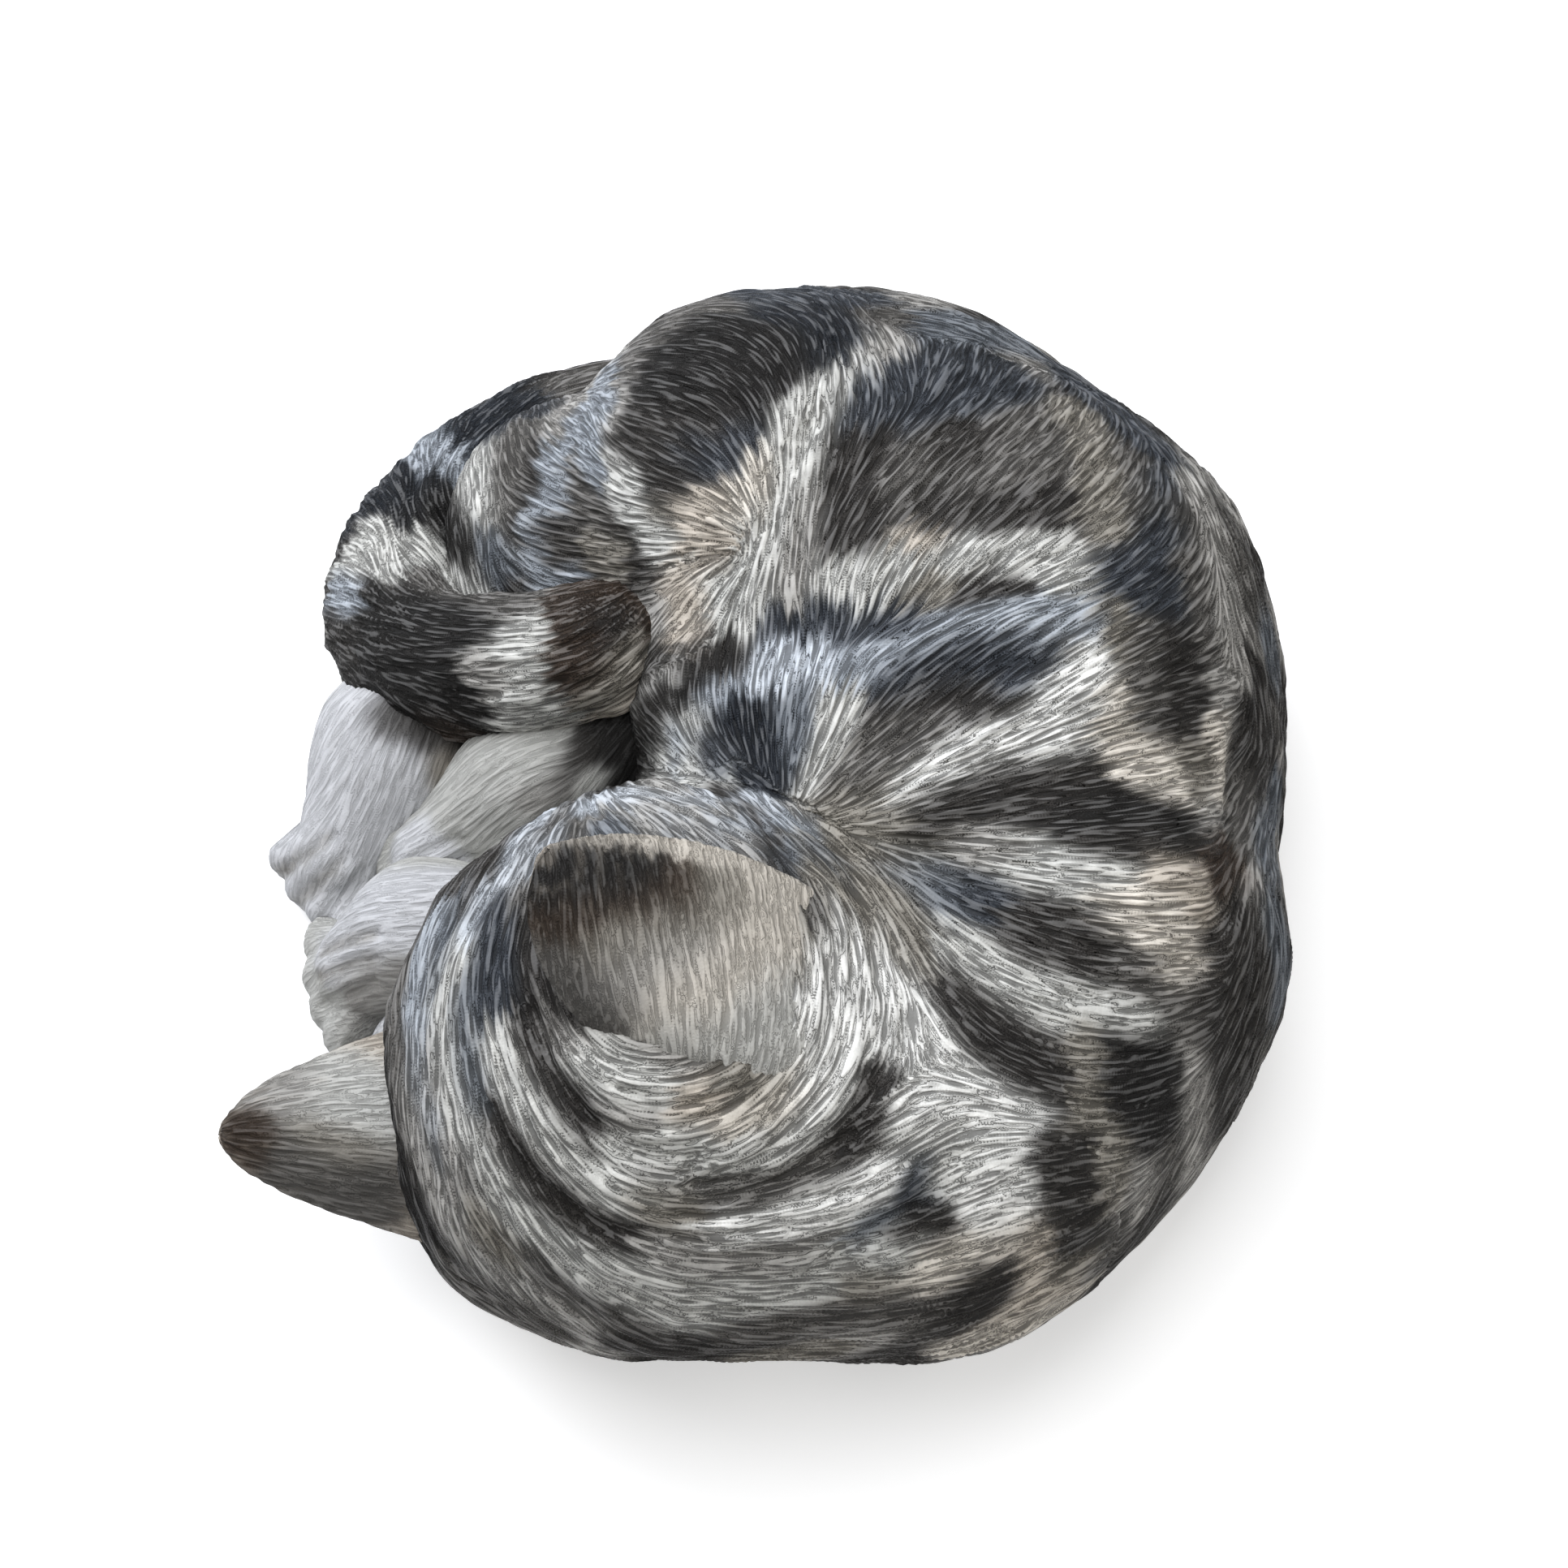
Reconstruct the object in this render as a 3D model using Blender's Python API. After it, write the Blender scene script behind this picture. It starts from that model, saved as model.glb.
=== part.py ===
"""Sleeping cat figurine, life-like, curled on its side with the head on the near left.

It is built as resin castings that are glued together: a hollow body with a seat for the head, a head on
two dowels with two ears slotted into it, a tail, four feet, and a closing plate and felt under the base.
Metres, +Z up. The origin is on the floor, under the middle of the curl. The face looks along +Y.
"""

import math

import bmesh
import bpy
import numpy as np
from mathutils import Vector

# Fits and walls
GLUE_GAP = 0.0003
BODY_WALL = 0.0055
RIM_WALL = 0.003
FELT_THICKNESS = 0.0015
FELT_INSET = 0.003
PLATE_THICKNESS = 0.004
DOWEL_RADIUS = 0.003
DOWEL_LENGTH = 0.026
DOWEL_BOSS_RADIUS = 0.0085
EAR_ROOT_DEPTH = 0.007
EAR_SLOT_GAP = 0.0005

# Lumps of the body: centre, half-axes, turn about +Z in degrees, width of the melt into the lumps before
BARREL = ((0.038, 0.010, 0.028), (0.072, 0.104, 0.054), 0.0, 0.0)
LOIN = ((0.016, 0.058, 0.040), (0.057, 0.060, 0.054), -12.0, 0.020)
RIBS = ((0.055, 0.022, 0.044), (0.0465, 0.057, 0.052), -28.0, 0.020)
SHOULDER = ((0.064, -0.045, 0.034), (0.041, 0.040, 0.046), 0.0, 0.012)
THIGH = ((-0.005, 0.065, 0.044), (0.045, 0.048, 0.051), 20.0, 0.0)
KNEE = ((-0.006, 0.038, 0.040), (0.027, 0.025, 0.030), 0.0, 0.014)
RUMP = ((-0.050, 0.065, 0.030), (0.030, 0.036, 0.030), 0.0, 0.014)
HAUNCH_MELT = 0.008

# Limbs of the body: start, end, start radius, end radius, width of the melt
NECK = ((0.046, -0.070, 0.030), (0.018, -0.076, 0.032), 0.042, 0.040, 0.016)
ELBOW = ((-0.014, 0.008, 0.052), (0.010, -0.016, 0.056), 0.017, 0.019, 0.010)

# Folds of the skin over ribs and shoulder: height, negative for a groove, half-width, start, end
FOLDS = (
    (0.0020, 0.007, (0.006, -0.004, 0.080), (0.066, 0.006, 0.093)),
    (-0.0022, 0.006, (-0.006, 0.006, 0.079), (0.060, 0.011, 0.096)),
    (-0.0014, 0.006, (0.022, -0.009, 0.085), (0.062, -0.004, 0.090)),
    (0.0016, 0.008, (0.020, -0.032, 0.078), (0.076, 0.000, 0.087)),
    (-0.0022, 0.005, (0.097, -0.004, 0.060), (0.090, -0.042, 0.070)),
    (-0.0020, 0.005, (0.090, -0.042, 0.070), (0.074, -0.071, 0.070)),
    (-0.0016, 0.006, (0.031, -0.068, 0.073), (0.053, -0.090, 0.067)),
)

# The head has its own axes: LEFT towards the upper ear, FORWARD along the nose, CROWN over the skull
HEAD_CENTRE = np.array((-0.028, -0.072, 0.050))
HEAD_CROWN = (-0.735, -0.065, 0.675)
HEAD_LEFT = (0.680, 0.176, 0.710)
SKULL_RADIUS = 0.050
MUZZLE_PLACE = (0.000, 0.030, -0.016)
MUZZLE_RADII = (0.024, 0.026, 0.020)
CHEEK_PLACE = (0.024, 0.014, -0.012)
CHEEK_RADII = (0.026, 0.028, 0.026)
BROW_PLACE = (0.018, 0.032, 0.012)
BROW_RADII = (0.015, 0.012, 0.010)
NAPE_START = (0.000, -0.012, -0.006)
NAPE_END = (0.026, -0.086, 0.033)
NAPE_RADII = (0.048, 0.043)
JOWL = ((-0.036, -0.095, 0.027), (0.038, 0.025, 0.025))
HEAD_MELT = 0.014
CHEEK_MELT = 0.010

# Ears: two ends of the base, tip, how far the back of the base bulges and which way, and the two powers
# that shape the outline from base to tip
EARS = {
    "ear_upper": (
        ((0.003, -0.054, 0.089), (-0.035, -0.089, 0.0965)),
        (-0.041, -0.064, 0.1185),
        (0.012, -0.020, 0.002),
        (1.9, 0.62),
    ),
    "ear_lower": (
        ((-0.076, -0.057, 0.036), (-0.077, -0.107, 0.031)),
        (-0.111, -0.088, 0.046),
        (0.002, -0.004, 0.013),
        (0.85, 0.5),
    ),
}
EAR_THICKNESS = 0.0035
EAR_TIP_THINNING = 0.5
EAR_HOLLOWING = 0.12
EAR_POINTS_ACROSS = 13
EAR_POINTS_UP = 11

# The tail's middle line, from rump to tip, with its radius at each point
TAIL_LINE = (
    (0.000, 0.106, 0.024),
    (-0.034, 0.107, 0.024),
    (-0.064, 0.095, 0.024),
    (-0.085, 0.072, 0.024),
    (-0.090, 0.048, 0.027),
    (-0.080, 0.029, 0.035),
    (-0.060, 0.021, 0.045),
    (-0.040, 0.020, 0.054),
)
TAIL_RADII = (0.015, 0.016, 0.017, 0.017, 0.017, 0.017, 0.016, 0.015)

# Feet: line of the leg, its radii, then toe radius, toe spacing and the way the toes are set side by side
FEET = {
    "hind_foot_outer": (
        ((-0.070, 0.028, 0.024), (-0.087, 0.015, 0.019), (-0.100, -0.009, 0.0125)),
        (0.019, 0.018, 0.0115),
        (0.0066, 0.0072, (0.70, -0.71, 0.0)),
    ),
    "hind_foot_inner": (
        ((-0.034, 0.012, 0.034), (-0.058, 0.000, 0.028), (-0.078, -0.012, 0.019)),
        (0.014, 0.014, 0.010),
        (0.0060, 0.0070, (0.55, -0.80, -0.24)),
    ),
    "front_paw_outer": (
        ((-0.055, -0.034, 0.020), (-0.078, -0.033, 0.020), (-0.092, -0.038, 0.014)),
        (0.015, 0.015, 0.011),
        (0.0064, 0.0076, (0.28, -0.96, 0.0)),
    ),
    "front_paw_inner": (
        ((-0.055, -0.056, 0.017), (-0.070, -0.056, 0.015), (-0.080, -0.057, 0.011)),
        (0.014, 0.012, 0.010),
        (0.0055, 0.0060, (0.20, -0.98, 0.0)),
    ),
}
TOES = 4
TOE_MELT = 0.2

# How finely the castings are faceted
BODY_CUTS = 22
HOLLOW_CUTS = 9
HEAD_CUTS = 14
FOOT_CUTS = 8
TAIL_SIDES = 16
TAIL_RINGS = 30
OUTLINE_POINTS = 60
DOWEL_SIDES = 24
MARCH_STEPS = 70
BISECTIONS = 24
REACH = 0.19

BASE_HEIGHT = FELT_THICKNESS + GLUE_GAP
BODY_MIDDLE = np.array((0.030, 0.005, 0.035))
HOLLOW_MIDDLE = np.array((0.052, 0.020, 0.030))
BASE_MIDDLE = np.array((0.012, -0.004, BASE_HEIGHT))

# Colours of the paint, as red, green and blue, with roughness
PAINTS = {
    "silver_tabby_paint": ((0.30, 0.31, 0.33), 0.6),
    "dark_tail_paint": ((0.10, 0.10, 0.12), 0.6),
    "pale_paw_paint": ((0.62, 0.62, 0.63), 0.6),
    "bare_resin": ((0.55, 0.53, 0.50), 0.5),
    "grey_felt": ((0.12, 0.12, 0.13), 0.95),
    "steel": ((0.60, 0.60, 0.61), 0.35),
}


def unit(vector):
    """The vector at length one."""
    vector = np.asarray(vector, float)
    return vector / np.linalg.norm(vector)


def head_axes():
    """Left, forward and crown of the head, square to each other."""
    crown = unit(HEAD_CROWN)
    forward = unit(np.cross(crown, HEAD_LEFT))
    return np.array((np.cross(forward, crown), forward, crown))


def on_head(place):
    """A place given along the head's left, forward and crown, in the figurine's own frame."""
    return HEAD_CENTRE + np.asarray(place) @ head_axes()


def turn_about_z(degrees):
    """Rows are the axes of a lump turned about +Z."""
    angle = math.radians(degrees)
    return np.array((
        (math.cos(angle), math.sin(angle), 0.0),
        (-math.sin(angle), math.cos(angle), 0.0),
        (0.0, 0.0, 1.0),
    ))


def ellipsoid(points, centre, radii, axes):
    """About the distance to an ellipsoid: its scaled radius less one, over the steepness there."""
    local = (points - centre) @ axes.T
    radii = np.asarray(radii)
    scaled = np.sqrt(((local / radii) ** 2).sum(-1))
    steepness = np.sqrt(((local / radii**2) ** 2).sum(-1)) + 1e-6
    return scaled * (scaled - 1.0) / steepness


def limb(points, start, end, start_radius, end_radius):
    """Distance to a round bar whose radius runs evenly from one end to the other."""
    start = np.asarray(start)
    run = np.asarray(end) - start
    share = np.clip(((points - start) @ run) / (run @ run), 0.0, 1.0)
    middle = start + share[..., None] * run
    return np.linalg.norm(points - middle, axis=-1) - (start_radius + (end_radius - start_radius) * share)


def melt(first, second, width):
    """Union of two shapes, with a fillet of about this width where they meet."""
    if width == 0.0:
        return np.minimum(first, second)
    overlap = np.clip(width - np.abs(first - second), 0.0, None) / width
    return np.minimum(first, second) - overlap**2 * width / 4.0


def fold(points, rise, width, start, end):
    """Height of a fold: a bell curve across the line from start to end, that dies away past its ends."""
    middle = (np.asarray(start) + np.asarray(end)) / 2.0
    half = np.asarray(end) - middle
    local = points - middle
    along = local @ half / (half @ half)
    across = ((local - along[..., None] * half) ** 2).sum(-1)
    return rise * np.exp(-across / width**2 - along**4)


def trunk_field(points):
    """Below zero inside the barrel, loin, ribs, shoulder, neck and elbow, with the folds over them."""
    field = np.full(points.shape[:-1], 1.0)
    for centre, radii, turn, width in (BARREL, LOIN, RIBS, SHOULDER):
        field = melt(field, ellipsoid(points, centre, radii, turn_about_z(turn)), width)
    for start, end, start_radius, end_radius, width in (NECK, ELBOW):
        field = melt(field, limb(points, start, end, start_radius, end_radius), width)
    return field - sum(fold(points, *row) for row in FOLDS)


def body_field(points):
    """Below zero inside the trunk and the haunch, which is thigh, knee and rump."""
    haunch = np.full(points.shape[:-1], 1.0)
    for centre, radii, turn, width in (THIGH, KNEE, RUMP):
        haunch = melt(haunch, ellipsoid(points, centre, radii, turn_about_z(turn)), width)
    return melt(trunk_field(points), haunch, HAUNCH_MELT)


def head_field(points):
    """Below zero inside the skull, muzzle, cheeks, brows, jowl and nape."""
    axes = head_axes()
    field = ellipsoid(points, HEAD_CENTRE, (SKULL_RADIUS,) * 3, axes)
    field = melt(field, ellipsoid(points, on_head(MUZZLE_PLACE), MUZZLE_RADII, axes), HEAD_MELT)
    for side in (1.0, -1.0):
        cheek = on_head(np.array(CHEEK_PLACE) * (side, 1.0, 1.0))
        brow = on_head(np.array(BROW_PLACE) * (side, 1.0, 1.0))
        field = melt(field, ellipsoid(points, cheek, CHEEK_RADII, axes), CHEEK_MELT)
        field = melt(field, ellipsoid(points, brow, BROW_RADII, axes), CHEEK_MELT)
    field = melt(field, limb(points, on_head(NAPE_START), NAPE_END, *NAPE_RADII), HEAD_MELT)
    return melt(field, ellipsoid(points, *JOWL, np.eye(3)), HEAD_MELT)


def tail_field(points):
    """Below zero inside the tail."""
    field = np.full(points.shape[:-1], 1.0)
    for i in range(len(TAIL_LINE) - 1):
        bar = limb(points, TAIL_LINE[i], TAIL_LINE[i + 1], TAIL_RADII[i], TAIL_RADII[i + 1])
        field = np.minimum(field, bar)
    return field


def foot_field(points, name):
    """Below zero inside a foot: the leg's bars and a row of toes across its end."""
    line, radii, (toe_radius, toe_step, across) = FEET[name]
    field = limb(points, line[0], line[1], radii[0], radii[1])
    field = melt(field, limb(points, line[1], line[2], radii[1], radii[2]), radii[2])
    ahead = unit(np.asarray(line[2]) - np.asarray(line[1]))
    for toe in range(TOES):
        offset = toe - (TOES - 1) / 2.0
        reach = radii[2] - toe_radius * (0.3 + 0.3 * abs(offset))
        centre = np.asarray(line[2]) + unit(across) * toe_step * offset + ahead * reach
        centre[2] = max(centre[2] - toe_radius * 0.3, BASE_HEIGHT + toe_radius * 0.8)
        field = melt(field, np.linalg.norm(points - centre, axis=-1) - toe_radius, toe_radius * TOE_MELT)
    return field


def dowel_lines():
    """Start and direction of the two dowels, each centred where its line leaves the head for the body."""
    lines = []
    for start, towards in (((HEAD_CENTRE), (0.72, 0.66, -0.16)), (NAPE_END, (0.78, 0.62, 0.06))):
        start = np.asarray(start)
        ray = unit(towards)
        seam = first_crossing(head_field, start, ray[None, :])[0]
        lines.append((start + ray * seam, ray))
    return lines


def hollow_field(points):
    """Below zero in the body's hollow, which keeps a wall to the outside, the seats and round the dowels."""
    low = np.concatenate((points[..., :2], np.maximum(points[..., 2:], BASE_HEIGHT + PLATE_THICKNESS)), -1)
    field = np.maximum(body_field(low) + BODY_WALL, BODY_WALL - head_field(low))
    field = np.maximum(field, BODY_WALL - tail_field(low))
    for name in FEET:
        field = np.maximum(field, BODY_WALL - foot_field(low, name))
    for seam, ray in dowel_lines():
        end = seam + ray * DOWEL_LENGTH / 2.0
        field = np.maximum(field, -limb(low, seam, end, DOWEL_BOSS_RADIUS, DOWEL_BOSS_RADIUS))
    return np.maximum(field, BASE_HEIGHT - 0.01 - points[..., 2])


def first_crossing(field, centre, rays):
    """How far along each ray from the centre the field first turns positive."""
    steps = np.linspace(0.0, REACH, MARCH_STEPS)
    values = field(centre + rays[:, None, :] * steps[None, :, None])
    outside = np.maximum(np.argmax(values > 0.0, axis=1), 1)
    near, far = steps[outside - 1], steps[outside]
    for _ in range(BISECTIONS):
        middle = (near + far) / 2.0
        beyond = field(centre + rays * middle[:, None]) > 0.0
        far = np.where(beyond, middle, far)
        near = np.where(beyond, near, middle)
    return near


def paint(obj, name):
    """Gives the object its own copy of a paint."""
    (red, green, blue), roughness = PAINTS[name]
    material = bpy.data.materials.new(f"{obj.name}_{name}")
    material.use_nodes = True
    shader = material.node_tree.nodes["Principled BSDF"]
    shader.inputs["Base Color"].default_value = (red, green, blue, 1.0)
    shader.inputs["Roughness"].default_value = roughness
    shader.inputs["Metallic"].default_value = 1.0 if name == "steel" else 0.0
    obj.data.materials.append(material)


def add_object(name, mesh_maker, paint_name=None):
    """Puts a bmesh into the scene as an object, painted, or as a hidden cutter where no paint is named."""
    mesh = bpy.data.meshes.new(name)
    bmesh.ops.recalc_face_normals(mesh_maker, faces=mesh_maker.faces)
    bmesh.ops.triangulate(mesh_maker, faces=mesh_maker.faces)
    mesh_maker.to_mesh(mesh)
    mesh_maker.free()
    obj = bpy.data.objects.new(name, mesh)
    bpy.context.scene.collection.objects.link(obj)
    if paint_name is None:
        obj.hide_render = True
        obj.display_type = "WIRE"
    else:
        mesh.shade_smooth()
        paint(obj, paint_name)
    return obj


def cut(obj, cutter, operation="DIFFERENCE"):
    """Adds a Boolean of this cutter to the object."""
    modifier = obj.modifiers.new(cutter.name, "BOOLEAN")
    modifier.operation = operation
    modifier.solver = "EXACT"
    modifier.object = cutter


def star(field, centre, cuts, grow=0.0):
    """A ball of squares whose corners slide along their rays to where the field equals grow."""
    maker = bmesh.new()
    bmesh.ops.create_cube(maker, size=2.0)
    bmesh.ops.subdivide_edges(maker, edges=maker.edges, cuts=cuts, use_grid_fill=True)
    corners = np.array([vertex.co[:] for vertex in maker.verts])
    rays = np.tan(corners * (math.pi / 4.0))
    rays /= np.linalg.norm(rays, axis=1, keepdims=True)
    places = centre + rays * first_crossing(lambda points: field(points) - grow, centre, rays)[:, None]
    for vertex, place in zip(maker.verts, places):
        vertex.co = place
    return maker


def prism(field, centre, inset, bottom, top):
    """An upright plate whose outline is where the field, on the base, is below minus inset."""
    angles = np.linspace(0.0, 2.0 * math.pi, OUTLINE_POINTS, endpoint=False)
    rays = np.stack((np.cos(angles), np.sin(angles), np.zeros(OUTLINE_POINTS)), -1)
    reach = first_crossing(lambda points: field(points) + inset, centre, rays)
    outline = centre + rays * reach[:, None]
    maker = bmesh.new()
    ring = [maker.verts.new((x, y, bottom)) for x, y, _ in outline]
    face = maker.faces.new(ring)
    lifted = bmesh.ops.extrude_face_region(maker, geom=[face])["geom"]
    moved = [part for part in lifted if isinstance(part, bmesh.types.BMVert)]
    bmesh.ops.translate(maker, verts=moved, vec=(0.0, 0.0, top - bottom))
    return maker


def tail_centre_line(count):
    """Points and radii along a smooth curve through the tail's own points."""
    knots = np.array(TAIL_LINE)
    radii = np.array(TAIL_RADII)
    ends = np.concatenate((2 * knots[:1] - knots[1:2], knots, 2 * knots[-1:] - knots[-2:-1]))
    at = np.linspace(0.0, len(knots) - 1.0, count)
    first = np.minimum(at.astype(int), len(knots) - 2)
    t = (at - first)[:, None]
    before, start, end, after = (ends[first + i] for i in range(4))
    line = 0.5 * (
        2 * start
        + (end - before) * t
        + (2 * before - 5 * start + 4 * end - after) * t**2
        + (3 * start - before - 3 * end + after) * t**3
    )
    return line, np.interp(at, np.arange(len(knots)), radii)


def tail_tube(grow=0.0):
    """Rings square to the tail's middle line, drawn in over a ball at each end."""
    line, radii = tail_centre_line(TAIL_RINGS)
    ahead = np.gradient(line, axis=0)
    ahead /= np.linalg.norm(ahead, axis=1, keepdims=True)
    caps = np.radians((80.0, 55.0, 28.0))
    start = line[0] - ahead[0] * (radii[0] * np.sin(caps))[:, None]
    finish = line[-1] + ahead[-1] * (radii[-1] * np.sin(caps[::-1]))[:, None]
    centres = np.concatenate((start, line, finish))
    sizes = np.concatenate((radii[0] * np.cos(caps), radii, radii[-1] * np.cos(caps[::-1]))) + grow
    ways = np.concatenate((np.repeat(ahead[:1], 3, 0), ahead, np.repeat(ahead[-1:], 3, 0)))
    centres[0] -= ways[0] * grow
    centres[-1] += ways[-1] * grow
    side = np.cross(ways, (0.0, 0.0, 1.0))
    side /= np.linalg.norm(side, axis=1, keepdims=True)
    up = np.cross(side, ways)
    angles = np.linspace(0.0, 2.0 * math.pi, TAIL_SIDES, endpoint=False)
    rings = centres[:, None] + sizes[:, None, None] * (
        np.cos(angles)[None, :, None] * side[:, None] + np.sin(angles)[None, :, None] * up[:, None]
    )
    maker = bmesh.new()
    verts = [[maker.verts.new(place) for place in ring] for ring in rings]
    for ring, following in zip(verts, verts[1:]):
        for i in range(TAIL_SIDES):
            j = (i + 1) % TAIL_SIDES
            maker.faces.new((ring[i], ring[j], following[j], following[i]))
    maker.faces.new(verts[0])
    maker.faces.new(verts[-1])
    return maker


def ear_shell(ends, tip, bulge, powers, grow=0.0):
    """An ear, closed: the curve of its base, drawn in by (1 - t^a)^b on the way t to its tip."""
    near, far, tip, bulge = (np.array(value) for value in (*ends, tip, bulge))
    u = np.linspace(0.0, 1.0, EAR_POINTS_ACROSS)
    middle = (near + far) / 2.0
    foot = middle + unit(middle + bulge / 2.0 - tip) * EAR_ROOT_DEPTH
    base = (far - near) * (u - 0.5)[:, None] + bulge * np.sin(math.pi * u)[:, None]
    way = np.sin(np.linspace(0.0, math.radians(84.0), EAR_POINTS_UP))[:, None, None]
    rows = foot + (tip - foot) * way + base[None] * (1.0 - way ** powers[0]) ** powers[1]
    inward = unit(np.cross(far - near, tip - middle))
    if inward @ bulge > 0.0:
        inward = -inward
    inner = rows + inward * EAR_THICKNESS * (1.0 - EAR_TIP_THINNING * way)
    inner = inner + (inner.mean(1, keepdims=True) - inner) * EAR_HOLLOWING
    maker = bmesh.new()
    back = [[maker.verts.new(place) for place in row] for row in rows]
    front = [[maker.verts.new(place) for place in row] for row in inner]
    for sheet in (back, front):
        for row, following in zip(sheet, sheet[1:]):
            for i in range(EAR_POINTS_ACROSS - 1):
                maker.faces.new((row[i], row[i + 1], following[i + 1], following[i]))
    for i in range(EAR_POINTS_ACROSS - 1):
        maker.faces.new((back[0][i], back[0][i + 1], front[0][i + 1], front[0][i]))
        maker.faces.new((back[-1][i], back[-1][i + 1], front[-1][i + 1], front[-1][i]))
    for j in range(EAR_POINTS_UP - 1):
        maker.faces.new((back[j][0], back[j + 1][0], front[j + 1][0], front[j][0]))
        maker.faces.new((back[j][-1], back[j + 1][-1], front[j + 1][-1], front[j][-1]))
    bmesh.ops.recalc_face_normals(maker, faces=maker.faces)
    maker.normal_update()
    for vertex in maker.verts:
        vertex.co += vertex.normal * grow
    return maker


def rod(seam, ray, radius, length):
    """A round bar centred on the seam."""
    maker = bmesh.new()
    turn = Vector(ray).to_track_quat("Z", "Y").to_matrix().to_4x4()
    turn.translation = Vector(seam)
    bmesh.ops.create_cone(
        maker, cap_ends=True, segments=DOWEL_SIDES, radius1=radius, radius2=radius, depth=length, matrix=turn
    )
    return maker


def slab_below(height):
    """A cutter that takes away whatever lies under this height."""
    maker = bmesh.new()
    bmesh.ops.create_cube(maker, size=1.0)
    bmesh.ops.translate(maker, verts=maker.verts, vec=(0.0, 0.0, height - 0.5))
    return add_object("under_the_base", maker)


def build_base():
    """The felt sheet and the plate that closes the hollow. Returns the plate and the cutter of its recess."""
    def body_with_head(points):
        return np.minimum(body_field(points), head_field(points))

    def body_less_head(points):
        return np.maximum(body_field(points), -head_field(points))

    felt = prism(body_with_head, BASE_MIDDLE, FELT_INSET, 0.0, FELT_THICKNESS)
    add_object("felt_sheet", felt, "grey_felt")
    centre = np.array((HOLLOW_MIDDLE[0], HOLLOW_MIDDLE[1], BASE_HEIGHT))
    top = BASE_HEIGHT + PLATE_THICKNESS
    plate = prism(body_less_head, centre, RIM_WALL + GLUE_GAP, BASE_HEIGHT, top)
    plate = add_object("base_plate", plate, "bare_resin")
    recess = prism(body_less_head, centre, RIM_WALL, BASE_HEIGHT - GLUE_GAP, top + GLUE_GAP)
    return plate, add_object("plate_recess", recess)


def build():
    """Makes every piece of the figurine."""
    for obj in list(bpy.data.objects):
        bpy.data.objects.remove(obj)
    under = slab_below(BASE_HEIGHT)
    plate, recess = build_base()
    body = add_object("body_casting", star(body_field, BODY_MIDDLE, BODY_CUTS), "silver_tabby_paint")
    head = add_object("head_casting", star(head_field, HEAD_CENTRE, HEAD_CUTS), "silver_tabby_paint")
    body_grown = add_object("body_room", star(body_field, BODY_MIDDLE, BODY_CUTS, GLUE_GAP))
    head_grown = add_object("head_room", star(head_field, HEAD_CENTRE, HEAD_CUTS, GLUE_GAP))
    hollow = add_object("hollow", star(hollow_field, HOLLOW_MIDDLE, HOLLOW_CUTS))
    for cutter in (under, head_grown, hollow, recess):
        cut(body, cutter)
    cut(head, under)
    cut(plate, head_grown)

    for side, (seam, ray) in zip(("front", "rear"), dowel_lines()):
        name = f"head_dowel_{side}"
        add_object(name, rod(seam, ray, DOWEL_RADIUS, DOWEL_LENGTH), "steel")
        hole = rod(seam, ray, DOWEL_RADIUS + GLUE_GAP, DOWEL_LENGTH + 2.0 * GLUE_GAP)
        hole = add_object(f"{name}_hole", hole)
        cut(body, hole)
        cut(head, hole)

    for name, shape in EARS.items():
        add_object(name, ear_shell(*shape), "silver_tabby_paint")
        cut(head, add_object(f"{name}_slot", ear_shell(*shape, EAR_SLOT_GAP)))

    tail = add_object("tail", tail_tube(), "dark_tail_paint")
    tail_grown = add_object("tail_room", tail_tube(GLUE_GAP))
    cut(tail, body_grown)
    cut(tail, under)
    placed = [body_grown, head_grown, tail_grown]
    for name in FEET:
        def field(points, name=name):
            return foot_field(points, name)

        centre = np.array(FEET[name][0][1])
        foot = add_object(name, star(field, centre, FOOT_CUTS), "pale_paw_paint")
        cut(foot, under)
        for cutter in placed:
            cut(foot, cutter)
        placed.append(add_object(f"{name}_room", star(field, centre, FOOT_CUTS, GLUE_GAP)))


build()
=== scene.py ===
"""Looks of the sleeping cat figurine: fur carved into cast resin, hand painted as a silver tabby.

Trunk, haunch, head and feet are where a field of distances is zero, met by rays from inside. The tail is
rings along a curve, and an ear is the curve of its base drawn in to its tip. Round the body, and round
each other piece, lies a coat: a coarse lattice of which way the fur runs and what paint it has, worked out
from strokes that are drawn as a sculptor draws guide lines. The fur is carved by smearing noise along its
run, which leaves long strands with grooves between them. Shapes are in millimetres until a mesh is made.
"""

import math

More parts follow.
